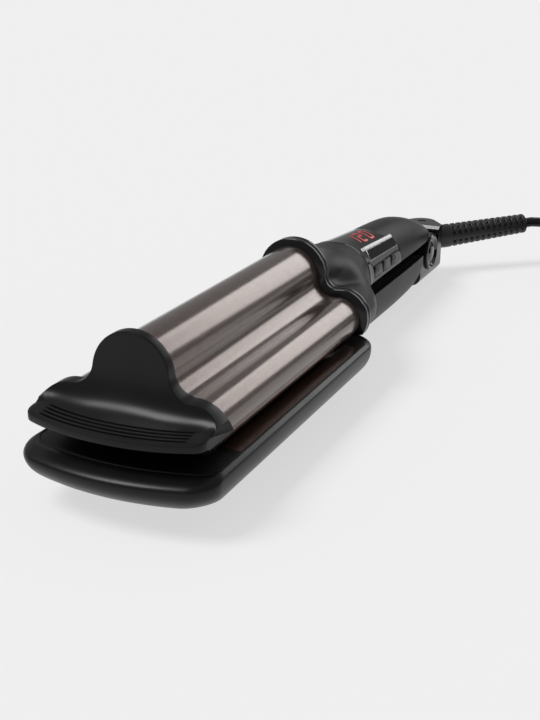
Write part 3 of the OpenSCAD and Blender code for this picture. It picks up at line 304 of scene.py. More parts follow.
def look_up(x, table):
    """Smooth value between the points of a table, with no overshoot."""
    if x <= table[0][0]:
        return table[0][1]
    if x >= table[-1][0]:
        return table[-1][1]
    k = max(i for i in range(len(table) - 1) if table[i][0] <= x)

    def slope(i):
        if i == 0 or i == len(table) - 1:
            j = 0 if i == 0 else len(table) - 2
            return (table[j + 1][1] - table[j][1]) / (table[j + 1][0] - table[j][0])
        before = (table[i][1] - table[i - 1][1]) / (table[i][0] - table[i - 1][0])
        after = (table[i + 1][1] - table[i][1]) / (table[i + 1][0] - table[i][0])
        return 0 if before * after <= 0 else 2 * before * after / (before + after)

    (x0, y0), (x1, y1) = table[k], table[k + 1]
    h = x1 - x0
    t = (x - x0) / h
    return (
        (2 * t**3 - 3 * t**2 + 1) * y0
        + (t**3 - 2 * t**2 + t) * h * slope(k)
        + (3 * t**2 - 2 * t**3) * y1
        + (t**3 - t**2) * h * slope(k + 1)
    )


def mirrored(half):
    """A closed outline from its right half, which starts at the middle."""
    return half + [(-x, z) for x, z in reversed(half) if x > 0.001]


def loft(rings):
    """Vertices and faces of closed rings joined in order, with both ends closed."""
    n = len(rings[0])
    verts = [p for ring in rings for p in ring]
    faces = []
    for r in range(len(rings) - 1):
        for i in range(n):
            j = (i + 1) % n
            faces.append((r * n + i, r * n + j, (r + 1) * n + j, (r + 1) * n + i))
    faces.append(tuple(range(n)))
    faces.append(tuple(range(len(verts) - 1, len(verts) - 1 - n, -1)))
    return verts, faces


def grid(rows, offset=0):
    """Vertices and faces of a sheet of points, its corners counted from an offset."""
    cols = len(rows[0])
    verts = [p for row in rows for p in row]
    faces = []
    for r in range(len(rows) - 1):
        for c in range(cols - 1):
            k = offset + r * cols + c
            faces.append((k, k + 1, k + cols + 1, k + cols))
    return verts, faces


def shell(outer, inner):
    """Closed sheet between two grids of points of one size."""
    verts, faces = grid(outer)
    n = len(verts)
    more, back = grid(inner, n)
    faces += [tuple(reversed(f)) for f in back]
    rows, cols = len(outer), len(outer[0])
    rim = list(range(cols))
    rim += [r * cols + cols - 1 for r in range(1, rows)]
    rim += [(rows - 1) * cols + c for c in range(cols - 2, -1, -1)]
    rim += [r * cols for r in range(rows - 2, 0, -1)]
    for a, b in zip(rim, rim[1:] + rim[:1]):
        faces.append((b, a, n + a, n + b))
    return verts + more, faces


def join(*parts):
    verts, faces = [], []
    for v, f in parts:
        faces += [tuple(i + len(verts) for i in face) for face in f]
        verts += v
    return verts, faces


def piece(name, made, body, slot, replaces=(), crease=30, material=None):
    """An object from vertices and faces in millimetres, smooth but for edges sharper than crease."""
    verts, faces = made
    mesh = bpy.data.meshes.new(name)
    mesh.from_pydata([place(*v) for v in verts], [], faces)
    obj = bpy.data.objects.new(name, mesh)
    bpy.context.scene.collection.objects.link(obj)
    soften(mesh, crease)
    mesh.materials.append(material or finishes[slot])
    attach(obj, body)
    if replaces:
        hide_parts(*replaces)
    return obj


def soften(mesh, crease):
    bm = bmesh.new()
    bm.from_mesh(mesh)
    bmesh.ops.remove_doubles(bm, verts=bm.verts, dist=0.5e-6)
    bmesh.ops.recalc_face_normals(bm, faces=bm.faces)
    limit = math.radians(crease)
    for face in bm.faces:
        face.smooth = True
    for edge in bm.edges:
        edge.smooth = len(edge.link_faces) == 2 and edge.calc_face_angle(0) < limit
    bm.to_mesh(mesh)
    bm.free()


def cut(obj, cutter, crease=30):
    """Takes the cutter's shape out of a piece, for good."""
    verts, faces = cutter
    mesh = bpy.data.meshes.new("cutter")
    mesh.from_pydata([place(*v) for v in verts], [], faces)
    tool = bpy.data.objects.new("cutter", mesh)
    bpy.context.scene.collection.objects.link(tool)
    soften(mesh, crease)
    change = obj.modifiers.new("cut", "BOOLEAN")
    change.operation = "DIFFERENCE"
    change.solver = "EXACT"
    change.object = tool
    made = bpy.data.meshes.new_from_object(obj.evaluated_get(bpy.context.evaluated_depsgraph_get()))
    obj.modifiers.clear()
    obj.data = made
    soften(made, crease)
    bpy.data.objects.remove(tool)


def box(x0, x1, y0, y1, z0, z1):
    ring = [(x0, z0), (x1, z0), (x1, z1), (x0, z1)]
    return loft([[(x, y, z) for x, z in ring] for y in (y0, y1)])


def rounded_box(x0, x1, y0, y1, z0, z1, corner, edge):
    """Box with round corners seen along x and a small round edge at its x1 end."""
    rings = []
    for x, inset in ((x0, 0), (x1 - edge, 0), (x1 - edge * 0.3, edge * 0.3), (x1, edge)):
        r = max(corner - inset, 0.05)
        low_y, high_y, low_z, high_z = y0 + inset, y1 - inset, z0 + inset, z1 - inset
        outline = (
            arc((high_y - r, high_z - r), r, 0, 90, 5)
            + arc((low_y + r, high_z - r), r, 90, 180, 5)
            + arc((low_y + r, low_z + r), r, 180, 270, 5)
            + arc((high_y - r, low_z + r), r, 270, 360, 5)
        )
        rings.append([(x, y, z) for y, z in outline])
    return loft(rings)


def turned(profile, centre, count):
    """A profile of (distance along the axis, radius) turned about an axis along x."""
    rings = []
    for reach, radius in profile:
        ring = []
        for k in range(count):
            a = 2 * math.pi * k / count
            y, z = radius * math.cos(a), radius * math.sin(a)
            ring.append((centre[0] + reach, centre[1] + y, centre[2] + z))
        rings.append(ring)
    return loft(rings)


# ---- Cord and strain relief ----
CORD_D = 5.5
SWIVEL = Vector((0, 325, -3.3))
CORD_YAW = math.radians(50)
CORD_CLIMB = math.radians(5)
RELIEF_START = 9.4
RELIEF_REACH = 63
RELIEF_SIDES = 64
RIBS = 14
RIB_START = 15.2
RIB_W = 1.75
RIB_PITCH = (RELIEF_REACH - RIB_START - RIB_W) / (RIBS - 1)
RIB_R = 6.6
RIB_TAPER = 1.2
SLOT_DEPTH = 1.9
WEB_HALF_H = 1.7
WEB_FADE = 0.5
relief_dir = heading(CORD_YAW, CORD_CLIMB)
relief_side = Vector((relief_dir.y, -relief_dir.x, 0)).normalized()
relief_up = relief_side.cross(relief_dir)
relief_tip = SWIVEL + relief_dir * RELIEF_REACH
LEAD_MID = [(62, 375, 1), (73, 379.5, -6), (84, 381, -13.5), (94, 380.5, -18.5)]
TAIL_MID = [(135.5, 378, 0.5), (143, 371.5, 3.6), (147.8, 363, 6.8), (148, 354.5, 8.5)]
COIL = (117, 343.8)
COIL_LOOPS = 2.25
COIL_LAYERS = 4
COIL_PITCH = 6.1
COIL_R = 36.5
COIL_START = 90
COIL_LOW = -20.05
COIL_STEPS = 32
CLIMB_TURNS = 0.5
PLUG_HALF_H = 7
PLUG = Vector((135, 344.5, COIL_LOW + (COIL_LAYERS - 1) * COIL_PITCH + CORD_D / 2 + 0.3 + PLUG_HALF_H))
plug_dir = heading(math.radians(-113))


def curve_through(points, count):
    """Smooth curve through points, with count steps in each span."""
    points = [Vector(p) for p in points]
    out = []
    last = len(points) - 1
    for k in range(last):
        a, b, c, d = points[max(k - 1, 0)], points[k], points[k + 1], points[min(k + 2, last)]
        for i in range(count):
            t = i / count
            bend = (2 * a - 5 * b + 4 * c - d) * t**2 + (3 * b - a - 3 * c + d) * t**3
            out.append(0.5 * (2 * b + (c - a) * t + bend))
    return out + [points[last]]


def coil_point(turn):
    """Point of the coil: its radius falls over one layer, grows over the next, and it climbs between them."""
    inward = COIL_LOOPS - abs(COIL_LOOPS - turn % (2 * COIL_LOOPS))
    layers = sum(ease((turn - k * COIL_LOOPS) / CLIMB_TURNS + 0.5) for k in range(1, COIL_LAYERS))
    x, y = polar(COIL, COIL_R - COIL_PITCH * inward, COIL_START - 360 * turn)
    return Vector((x, y, COIL_LOW + layers * COIL_PITCH))


coil_points = [coil_point(k / COIL_STEPS) for k in range(int(COIL_LAYERS * COIL_LOOPS * COIL_STEPS) + 1)]


def run_out(p, q, far):
    """Point beyond p on the line from q."""
    return p + (p - q).normalized() * far


lead_end = run_out(coil_points[0], coil_points[1], 2 * CORD_D)
tail_start = run_out(coil_points[-1], coil_points[-2], 2 * CORD_D)
plug_end = PLUG - plug_dir * 0.05
lead_points = [relief_tip] + curve_through([relief_tip + relief_dir * CORD_D, *LEAD_MID, lead_end], 6)
tail_points = curve_through([tail_start, *TAIL_MID, plug_end - plug_dir * CORD_D], 6) + [plug_end]


def relief_ring(reach, taken_off, slot=0):
    """Section of the strain relief; a slot leaves a web along each side."""
    radius = RIB_R - RIB_TAPER * (reach - RIB_START) / (RELIEF_REACH - RIB_START) - taken_off
    ring = []
    for k in range(RELIEF_SIDES):
        a = 2 * math.pi * (k + 0.5) / RELIEF_SIDES
        r = radius - slot * ease((abs(radius * math.sin(a)) - WEB_HALF_H) / WEB_FADE + 0.5)
        across = relief_side * r * math.cos(a) + relief_up * r * math.sin(a)
        ring.append(tuple(SWIVEL + relief_dir * reach + across))
    return ring


relief_profile = [(RELIEF_START, 0.7), (RELIEF_START + 0.4, 0.4), (RIB_START - 2.2, 0.1)]
for k in range(RIBS):
    near = RIB_START + k * RIB_PITCH
    far = near + RIB_W
    if k:
        relief_profile += [(near - 0.02, 0.1, SLOT_DEPTH), (near, 0.15)]
    relief_profile += [(near + 0.2, 0), (far - 0.2, 0), (far, 0.15)]
    if k < RIBS - 1:
        relief_profile.append((far + 0.02, 0.1, SLOT_DEPTH))
relief_rings = [relief_ring(*entry) for entry in relief_profile]
piece("strain_relief_skin", loft(relief_rings), "cord_swivel", "relief_rubber", ["strain_relief"], 30)

cord_route = [place(*p) for p in lead_points + coil_points + tail_points]
cord_length = sum((b - a).length for a, b in zip(cord_route, cord_route[1:]))
cord_curve = bpy.data.curves.new("cord", "CURVE")
cord_curve.dimensions = "3D"
cord_curve.bevel_depth = CORD_D / 2 * MM
cord_curve.bevel_resolution = 6
cord_curve.use_fill_caps = True
spline = cord_curve.splines.new("POLY")
spline.points.add(len(cord_route) - 1)
for knot, point in zip(spline.points, cord_route):
    knot.co = (*point, 1)
spline.use_smooth = True
cord_curve.materials.append(finishes["cord_rubber"])
cord = bpy.data.objects.new("cord", cord_curve)
bpy.context.scene.collection.objects.link(cord)
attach(cord, "cord_swivel")
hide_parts("cord_lead", "cord_coil", "cord_tail")
print("cord length", round(cord_length, 3))

# ---- Wavy jaw ----
DOME = (0, 24.8)
DOME_R = 11.8
LOBE = (22.3, 8.4)
LOBE_R = 8.8
WAIST_R = 7.9
WALL = 1.6
HAIR_GAP = 1.8
RIM_Z = -0.8
RIM_HALF_W = 34.8
PLATE_FRONT, PLATE_REAR = 17, 141.5
BARREL_FRONT, BARREL_REAR = 24, 134.5


def touching(a, a_r, b, b_r, r):
    """Centre of the circle of radius r that touches circle a and circle b from above."""
    span = Vector((b[0] - a[0], b[1] - a[1]))
    along = ((a_r + r) ** 2 - (b_r + r) ** 2 + span.length_squared) / (2 * span.length)
    aside = math.sqrt((a_r + r) ** 2 - along**2)
    x = a[0] + (along * span.x - aside * span.y) / span.length
    y = a[1] + (along * span.y + aside * span.x) / span.length
    return x, y


def bearing(start, end):
    """Direction from one point to another, in degrees."""
    return math.degrees(math.atan2(end[1] - start[1], end[0] - start[0]))


WAIST = touching(DOME, DOME_R, LOBE, LOBE_R, WAIST_R)
DOME_A = bearing(DOME, WAIST)
LOBE_A = bearing(LOBE, WAIST)
INNER_A = bearing(WAIST, LOBE) - math.degrees(math.acos((WAIST_R + WALL - LOBE_R) / math.dist(WAIST, LOBE)))


def wave_half(grow, end, fine=1.0):
    """Right half of the wavy outline, from the top of the dome down to an angle on the lobe."""
    return (
        arc(DOME, DOME_R + grow, 90, DOME_A, int(30 * fine))
        + arc(WAIST, WAIST_R - grow, DOME_A + 180, LOBE_A + 180, int(18 * fine))[1:]
        + arc(LOBE, LOBE_R + grow, LOBE_A, end, int(34 * fine))[1:]
    )


def barrel_half(shrink, end):
    """Right half of the outline of barrel and trough, from the barrel's top to the trough's end."""
    return (
        arc(DOME, DOME_R - WALL - shrink, 90, DOME_A, 30)
        + arc(WAIST, WAIST_R + WALL + shrink, DOME_A + 180, INNER_A + 360, 14)[1:]
        + arc(LOBE, LOBE_R + shrink, INNER_A, end, 36)
    )


def along_y(outline, stations):
    """Rings of one outline at several places along the tool."""
    return loft([[(x, y, z) for x, z in outline] for y in stations])


plate_outline = mirrored(
    wave_half(0, INNER_A, 1.6)
    + arc(WAIST, WAIST_R + WALL, INNER_A, DOME_A - 180, 14)[1:]
    + arc(DOME, DOME_R - WALL, DOME_A, 90, 30)
)
wave_plate = along_y(plate_outline, (PLATE_FRONT, PLATE_REAR))
piece("wave_plate_skin", wave_plate, "upper_arm", "wave_plate", ["wave_plate"], 40)


def trough_end(radius, z):
    """Angle at which a trough of this radius reaches a height."""
    return -math.degrees(math.asin((LOBE[1] - z) / radius))


trough_r = LOBE_R + HAIR_GAP
edge_x = RIM_HALF_W - 0.2
barrel_top = barrel_half(HAIR_GAP, trough_end(trough_r, RIM_Z))
barrel_over = barrel_top + [(edge_x - 0.3, RIM_Z), (edge_x, RIM_Z - 0.3)]
barrel_under = barrel_half(HAIR_GAP + WALL, trough_end(trough_r + WALL, RIM_Z - WALL))
barrel_under.append((edge_x, RIM_Z - WALL))
barrel_plate = along_y(mirrored(barrel_over + barrel_under[::-1]), (BARREL_FRONT, BARREL_REAR))
piece("barrel_plate_skin", barrel_plate, "lower_arm", "barrel_plate", ["barrel_plate"], 40)


def banded(outline_at, profile, start):
    """Rings that follow the wavy outline: profile gives places along the tool and growth."""
    return loft([[(x, start + y, z) for x, z in outline_at(grow)] for y, grow in profile])


# ---- Front cap: grooved lip, sweep up the face and band, in one skin, and the foot ----
CAP_DOME_R = DOME_R + 2.7
CAP_WAIST_R = WAIST_R + 0.1
CAP_LOBE = (LOBE[0] - 0.1, LOBE[1] - 3.4)
CAP_LOBE_R = LOBE_R + 5.2
CAP_WAIST = touching(DOME, CAP_DOME_R, CAP_LOBE, CAP_LOBE_R, CAP_WAIST_R)
CAP_DOME_A = bearing(DOME, CAP_WAIST)
CAP_LOBE_A = bearing(CAP_LOBE, CAP_WAIST)
CAP_LOW = 9.6
CAP_BACK = 13.5
LIP_HALF_W = 33.3
LIP_TOP = 10.8
LIP_EDGE = 3.0
LIP_BULGE = 6.9
LIP_SWEEP = 6.0
LIP_CORNER = 3.2
LIP_FLAT = 9
LIP_SLOPE = 0.14
GROOVES = 4
GROOVE_PITCH = 1.9
GROOVE_W = 1.0
GROOVE_DEPTH = 0.95
GROOVE_HALF_W = 27.5


def lip_edge_y(x):
    """Front edge of the lip seen from above: a flat bow with round corners."""
    past = min(max(abs(x) - LIP_HALF_W + LIP_CORNER, 0) / LIP_CORNER, 1)
    return -LIP_BULGE + LIP_SWEEP * (x / LIP_HALF_W) ** 2 + LIP_CORNER * 1.2 * (1 - math.sqrt(1 - past**2))


def face_y(x, z):
    """Place of the cap's face along the tool: steep above, and sweeping forward onto the lip."""
    rise = z - 11.4
    spread = 2.2 + 2.6 * ease((30 - abs(x)) / 18)
    return CAP_BACK - 2.9 * math.exp(-rise / 12) - 6.2 * math.exp(-rise / spread)


def cap_half(grow):
    """Right half of the cap's outline; its points lie closer together towards the end."""
    end = math.degrees(math.asin((CAP_LOW + 0.4 - CAP_LOBE[1]) / CAP_LOBE_R))
    turns = [CAP_LOBE_A - (CAP_LOBE_A - end) * (1 - (1 - t) ** 1.7) for t in steps(0, 1, 60)]
    return (
        arc(DOME, CAP_DOME_R + grow, 90, CAP_DOME_A, 44)
        + arc(CAP_WAIST, CAP_WAIST_R - grow, CAP_DOME_A + 180, CAP_LOBE_A + 180, 26)[1:]
        + [polar(CAP_LOBE, CAP_LOBE_R + grow, turn) for turn in turns[1:]]
    )


GROOVE_PROFILE = [
    (0, 0), (0.1, 0.75), (0.25, 1), (GROOVE_W - 0.25, 1), (GROOVE_W - 0.1, 0.75), (GROOVE_W, 0),
]


def cap_column(outer, inner):
    """The skin from the lip's lower edge up over face and band and back below, at one outline point."""
    share = outer[0] / 35.3
    lip_x = LIP_HALF_W * share
    front = lip_edge_y(lip_x)
    turn = min(max((outer[0] - 33.6) / 1.7, 0), 1)
    crest = (inner[0] - 2.1 * turn, inner[1] + 1.7 * turn)
    crest_y = face_y(outer[0], crest[1])
    fit = min((crest_y - front) / (LIP_FLAT + 3), 1)
    top = LIP_TOP + 0.7 * share**4
    low = top - LIP_EDGE
    deep = GROOVE_DEPTH * ease((GROOVE_HALF_W - lip_x) / 0.9)
    out = [(lip_x, front + y, low + z) for y, z in ((0.9, 0), (0.35, 0.1), (0.08, 0.4), (0, 0.8))]
    out += [(lip_x, front + y, top - z) for y, z in ((0.02, 0.5), (0.16, 0.18), (0.48, 0))]

    def surface(y):
        return top + LIP_SLOPE * (y - front)

    for k in range(GROOVES):
        start = front + fit * (2 + k * GROOVE_PITCH)
        for y, z in GROOVE_PROFILE:
            out.append((lip_x, start + fit * y, surface(start + fit * y) - deep * z))
    flat_end = front + fit * LIP_FLAT
    flat_z = surface(flat_end)
    ahead = face_y(outer[0], flat_z) - flat_end
    fade = max(ahead / 3, 0.8)
    for t in steps(0, 1, 30):
        z = flat_z + (crest[1] - flat_z) * t**1.8
        y = face_y(outer[0], z) - ahead * math.exp(-(z - flat_z) / fade) * (1 - t**3)
        out.append((lip_x + (crest[0] - lip_x) * t, y, z))
    for y, part in ((0.06, 0.55), (0.2, 0.85), (0.42, 1)):
        x = crest[0] + (outer[0] - inner[0]) * part
        out.append((x, crest_y + y, crest[1] + (outer[1] - inner[1]) * part))
    out += [(outer[0], PLATE_FRONT - 0.15, outer[1]), (inner[0], PLATE_FRONT, inner[1])]
    return out + [(inner[0], PLATE_FRONT, CAP_LOW), (lip_x, front + 4 * fit + 0.9, low - 0.6)]


columns = [cap_column(outer, inner) for outer, inner in zip(cap_half(0), cap_half(-0.35))]
skin = loft([[(-x, y, z) for x, y, z in column] for column in columns[:0:-1]] + columns)
foot_r = LOBE_R + 0.2
foot_outline = mirrored([(0, LOBE[1] + foot_r * math.sin(math.radians(12)))] + arc(LOBE, foot_r, 12, -56, 24))
foot = along_y(foot_outline, (PLATE_FRONT - 4.2, PLATE_FRONT))
piece("front_cap_skin", join(skin, foot), "upper_arm", "black_shell", ["front_cap"], 34)

# ---- Rear collar ----
COLLAR_PROUD = 3.1
COLLAR_LEN = 6.7
COLLAR_LOW = 1.8
COLLAR_END_A = -34
COVER_FRONT = PLATE_REAR + COLLAR_LEN + 0.05


def collar_outline(grow):
    """Outline of the collar, level at its lower ends."""
    total = COLLAR_PROUD + grow
    return mirrored(wave_half(total, math.degrees(math.asin((COLLAR_LOW - LOBE[1]) / (LOBE_R + total)))))


collar = banded(
    collar_outline,
    [
        (0, -2.7), (1.1, -0.3), (1.25, -0.1), (1.4, -0.02), (1.6, 0), (3.2, -0.05), (3.35, -0.15),
        (3.45, -0.45), (3.7, -0.45), (3.8, -0.2), (3.95, -0.1), (5.7, -0.1), (6.1, -0.2), (6.45, -0.45),
        (COLLAR_LEN, -0.8),
    ],
    PLATE_REAR,
)
piece("rear_collar_skin", collar, "upper_arm", "collar_plastic", ["rear_collar"], 34)

# ---- Upper handle ----
HANDLE_HALF_W = 14.6
COVER_REAR = 311
COVER_WALL = 2.3
SHOULDER = 57
SHOULDER_HALF_W = 33
BLEND = 31
SIDE_STEPS = 16
DOME_STEPS = 6
WAIST_STEPS = 4
HANDLE_COLS = 96
SECTION_POWER = 2 / 2.3
SHOULDER_WIDTHS = [
    (0, 1), (0.18, 0.95), (0.3, 0.86), (0.42, 0.65), (0.56, 0.375), (0.7, 0.174), (0.84, 0.054), (1, 0.005),
]
SHOULDER_TOPS = [(0, 38), (0.12, 34), (0.26, 31), (0.42, 29), (0.74, 27.2), (1, 26)]
TAIL_WIDTHS = [(41, 0.99), (26, 0.96), (16, 0.905), (8, 0.8), (3, 0.67), (0, 0.54)]
TAIL_TOPS = [
    (76, 23.8), (60, 22.8), (49, 22), (38, 20.8), (28, 18.8), (19, 16), (11, 12.8), (5, 9.8), (0, 6.8),
]
WIDTHS = [
    (COVER_FRONT + p * SHOULDER, HANDLE_HALF_W + q * (SHOULDER_HALF_W - HANDLE_HALF_W))
    for p, q in SHOULDER_WIDTHS
]
WIDTHS += [(COVER_REAR - p, HANDLE_HALF_W * q) for p, q in TAIL_WIDTHS]
TOPS = [(COVER_FRONT + p * SHOULDER, q) for p, q in SHOULDER_TOPS]
TOPS += [(COVER_REAR - p, q) for p, q in TAIL_TOPS]
LOWS = [
    (COVER_FRONT, 3), (COVER_FRONT + 17, 3.2), (COVER_FRONT + 27, 4.2), (COVER_FRONT + 37, 5.2),
    (COVER_FRONT + 52, 5.8), (COVER_REAR - 26, 5.4), (COVER_REAR, 3.6),
]
PANEL_FRONT = [(0, 188), (0.45, 193), (0.7, 197), (1, 199)]
PANEL_REAR = [(0, 229), (0.3, 231), (0.5, 239), (0.7, 243), (1, 246)]
PANEL_T = 1.2
PANEL_PROUD = 0.1


def wave_at(j):
    """Point j of the collar's outline, from the top of the dome to its lower end, as shares of its size."""
    waist_end = DOME_STEPS + WAIST_STEPS
    if j <= DOME_STEPS:
        x, z = polar(DOME, DOME_R + COLLAR_PROUD, 90 + (DOME_A - 90) * j / DOME_STEPS)
    elif j <= waist_end:
        turn = DOME_A + 180 + (LOBE_A - DOME_A) * (j - DOME_STEPS) / WAIST_STEPS
        x, z = polar(WAIST, WAIST_R - COLLAR_PROUD, turn)
    else:
        turn = LOBE_A + (COLLAR_END_A - LOBE_A) * (j - waist_end) / (SIDE_STEPS - waist_end)
        x, z = polar(LOBE, LOBE_R + COLLAR_PROUD, turn)
    full_x = LOBE[0] + LOBE_R + COLLAR_PROUD
    full_z = DOME[1] + DOME_R + COLLAR_PROUD - COLLAR_LOW
    return x / full_x, (z - COLLAR_LOW) / full_z


def handle_point(y, i, depth):
    """Point of the upper handle's section at y, taken in by depth; i runs from lower edge to lower edge."""
    j = abs(i)
    a = math.radians(90 - 90 * j / SIDE_STEPS)
    round_x, round_z = max(math.cos(a), 0) ** SECTION_POWER, max(math.sin(a), 0) ** SECTION_POWER
    s = ease((y - COVER_FRONT) / BLEND)
    wave_x, wave_z = wave_at(j)
    low = look_up(y, LOWS)
    x = (look_up(y, WIDTHS) - depth) * ((1 - s) * wave_x + s * round_x)
    return math.copysign(x, i), y, low + (look_up(y, TOPS) - low - depth) * ((1 - s) * wave_z + s * round_z)


def between(i, front, rear, t):
    """Place a share of the way between two ends, each a number or a table over the section."""
    u = abs(i) / SIDE_STEPS
    a = look_up(u, front) if isinstance(front, list) else front
    b = look_up(u, rear) if isinstance(rear, list) else rear
    return a * (1 - t) + b * t


def handle_rows(front, rear, spacing, depth):
    """Rows of the handle's surface between two ends; spacing lists shares of the way, or (share, depth)."""
    across = steps(-SIDE_STEPS, SIDE_STEPS, HANDLE_COLS)
    rows = []
    for entry in spacing:
        t, deep = entry if isinstance(entry, tuple) else (entry, depth)
        rows.append([handle_point(between(i, front, rear, t), i, deep) for i in across])
    return rows


def shifted(table, amount):
    return [(u, y + amount) for u, y in table]


even_front = steps(0, 1, 36)
even_rear = steps(0, 1, 44)
even_panel = steps(0, 1, 10)
recess = PANEL_T + 0.1
cover_outer = (
    handle_rows(COVER_FRONT, shifted(PANEL_FRONT, -0.12), even_front, 0)
    + handle_rows(shifted(PANEL_FRONT, -0.03), shifted(PANEL_FRONT, 0), [(0, 0.06), (1, 0.2)], 0)
    + handle_rows(shifted(PANEL_FRONT, 0.08), shifted(PANEL_REAR, -0.08), even_panel, recess)
    + handle_rows(shifted(PANEL_REAR, 0), shifted(PANEL_REAR, 0.03), [(0, 0.2), (1, 0.06)], 0)
    + handle_rows(shifted(PANEL_REAR, 0.12), COVER_REAR, even_rear, 0)
)
inner_depth = COVER_WALL + 0.1
cover_inner = (
    handle_rows(COVER_FRONT, shifted(PANEL_FRONT, -0.12), even_front, COVER_WALL)
    + handle_rows(shifted(PANEL_FRONT, -0.03), shifted(PANEL_FRONT, 0), [0, 1], COVER_WALL)
    + handle_rows(shifted(PANEL_FRONT, 0.08), shifted(PANEL_REAR, -0.08), even_panel, inner_depth)
    + handle_rows(shifted(PANEL_REAR, 0), shifted(PANEL_REAR, 0.03), [0, 1], COVER_WALL)
    + handle_rows(shifted(PANEL_REAR, 0.12), COVER_REAR, even_rear, COVER_WALL)
)
piece("handle_cover_skin", shell(cover_outer, cover_inner), "upper_arm", "handle_shell", ["handle_cover"], 34)

# ---- Control panel ----
panel_edge = [(0, 0.25), (0.004, 0.02), (0.012, -PANEL_PROUD)]
panel_spacing = panel_edge + steps(0.03, 0.97, 26) + [(1 - t, deep) for t, deep in reversed(panel_edge)]
gap_front, gap_rear = shifted(PANEL_FRONT, 0.15), shifted(PANEL_REAR, -0.15)
panel_outer = handle_rows(gap_front, gap_rear, panel_spacing, -PANEL_PROUD)
panel_shares = [entry[0] if isinstance(entry, tuple) else entry for entry in panel_spacing]
panel_inner = handle_rows(gap_front, gap_rear, panel_shares, PANEL_T)
panel_skin = shell(panel_outer, panel_inner)
panel = piece("control_panel_skin", panel_skin, "upper_arm", "panel_gloss", ["control_panel"], 34)

BUTTON_Z = 10.2
BUTTON_GAP = 0.3
BUTTON_HALF_LEN = 4.8
BUTTON_HALF_H = 2.6
BUTTON_BACK = 10.75
BUTTON_FACE = HANDLE_HALF_W + PANEL_PROUD + 0.2
BUTTONS = [
    ("button_minus", "minus_button", 210.8), ("button_power", "power_button", 222.6),
    ("button_plus", "plus_button", 234.4),
]
PAST_PANEL = 19
MARK_X = BUTTON_FACE - 0.2
MARK_HALF_LEN = 1.2
MARK_HALF_W = 0.22


def beside(mid, half_len, half_h):
    """Limits along y and z of a box about a button's middle."""
    return mid - half_len, mid + half_len, BUTTON_Z - half_h, BUTTON_Z + half_h


for _, _, mid in BUTTONS:
    opening = beside(mid, BUTTON_HALF_LEN + BUTTON_GAP, BUTTON_HALF_H + BUTTON_GAP)
    cut(panel, box(9, PAST_PANEL, *opening))

for name, body, mid in BUTTONS:
    y0, y1, z0, z1 = beside(mid, BUTTON_HALF_LEN, BUTTON_HALF_H)
    stem = rounded_box(BUTTON_BACK, BUTTON_FACE, y0, y1, z0, z1, 0.5, 0.25)
    flange = box(BUTTON_BACK, BUTTON_BACK + 0.75, y0 - 0.6, y1 + 0.6, z0, z1 + 0.6)
    button = piece(name + "_skin", join(stem, flange), body, "button_plastic", [name], 40)
    if name != "button_power":
        cut(button, box(MARK_X, PAST_PANEL, *beside(mid, MARK_HALF_LEN, MARK_HALF_W)))
    if name == "button_plus":
        cut(button, box(MARK_X, PAST_PANEL, *beside(mid, MARK_HALF_W, MARK_HALF_LEN)))

# Bar over the buttons, its light outline, and the bevel strip along the panel's shoulder; outline and strip
# get pale grey metal finishes as painted highlights, where the black panel's edges catch the light
BAR_FRONT, BAR_REAR = 203.5, 240.5
OUTLINE_W = 0.55
SOFT_EDGE = 0.12
STEP_W = 1.9


def on_panel(name, y0, y1, i0, i1, low, high, slot, material=None):
    """Thin plate that follows the panel's surface, with rounded edges."""

    def rise(a, b):
        edge = min(a, 1 - a) * (y1 - y0)
        side = min(b, 1 - b) * (i1 - i0) * STEP_W
        return min(ease(edge / SOFT_EDGE), ease(side / SOFT_EDGE))

    rows_at = [0, 0.002, 0.006, 0.02] + steps(0.05, 0.95, 24) + [0.98, 0.994, 0.998, 1]
    cols_at = [0, 0.02, 0.05] + steps(0.1, 0.9, 10) + [0.95, 0.98, 1]
    base = -PANEL_PROUD - low
    outer, inner = [], []
    for a in rows_at:
        y = y0 + a * (y1 - y0)
        outer.append([handle_point(y, i0 + b * (i1 - i0), base - (high - low) * rise(a, b)) for b in cols_at])
        inner.append([handle_point(y, i0 + b * (i1 - i0), base + 0.02) for b in cols_at])
    return piece(name, shell(outer, inner), "upper_arm", slot, crease=34, material=material)


bar = on_panel("panel_bar", BAR_FRONT, BAR_REAR, 8, 11, 0.05, 0.35, "inlay_gloss")
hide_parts("panel_inlay")
# Pale grey finish of the bar's outline: a painted highlight along its rim
painted_rim_highlight = metal("panel_line_painted_highlight", (0.42, 0.42, 0.43), 0.25)
# Near-white finish of the bevel strip: a painted highlight on the panel's black chamfer
painted_bevel_highlight = metal("panel_bevel_painted_highlight", (0.86, 0.86, 0.87), 0.22, 0.3, (1, 0.1, 1))
on_panel("panel_bevel", 198.5, 241, 6.7, 7.75, 0.03, 0.16, "panel_gloss", painted_bevel_highlight)
outline_ends = (BAR_FRONT - OUTLINE_W, BAR_REAR + OUTLINE_W)
on_panel("panel_bar_outline", *outline_ends, 7.82, 11.18, 0.02, 0.14, "inlay_gloss", painted_rim_highlight)

# Red figures behind the panel's gloss; a segment runs between shares of the figure's width and height
SPANS = {
    "a": ((0, 1), (1, 1)), "b": ((1, 1), (1, 0.5)), "c": ((1, 0.5), (1, 0)), "d": ((0, 0), (1, 0)),
    "e": ((0, 0.5), (0, 0)), "f": ((0, 1), (0, 0.5)), "g": ((0, 0.5), (1, 0.5)),
}
SEGMENTS = {"1": "bc", "2": "abged", "0": "abcdef"}
FIGURE_W, FIGURE_H, STROKE = 4.524, 6.8, 1.0
FIGURE_SLANT = 0.7
FIGURE_PITCH = 8.6
FIGURE_FRONT = 201.0
FIGURE_BASE_X = 7.6
FIGURE_PROUD = 0.14
figure_red = glowing("figure_red", (0.62, 0.05, 0.045), 0.75)


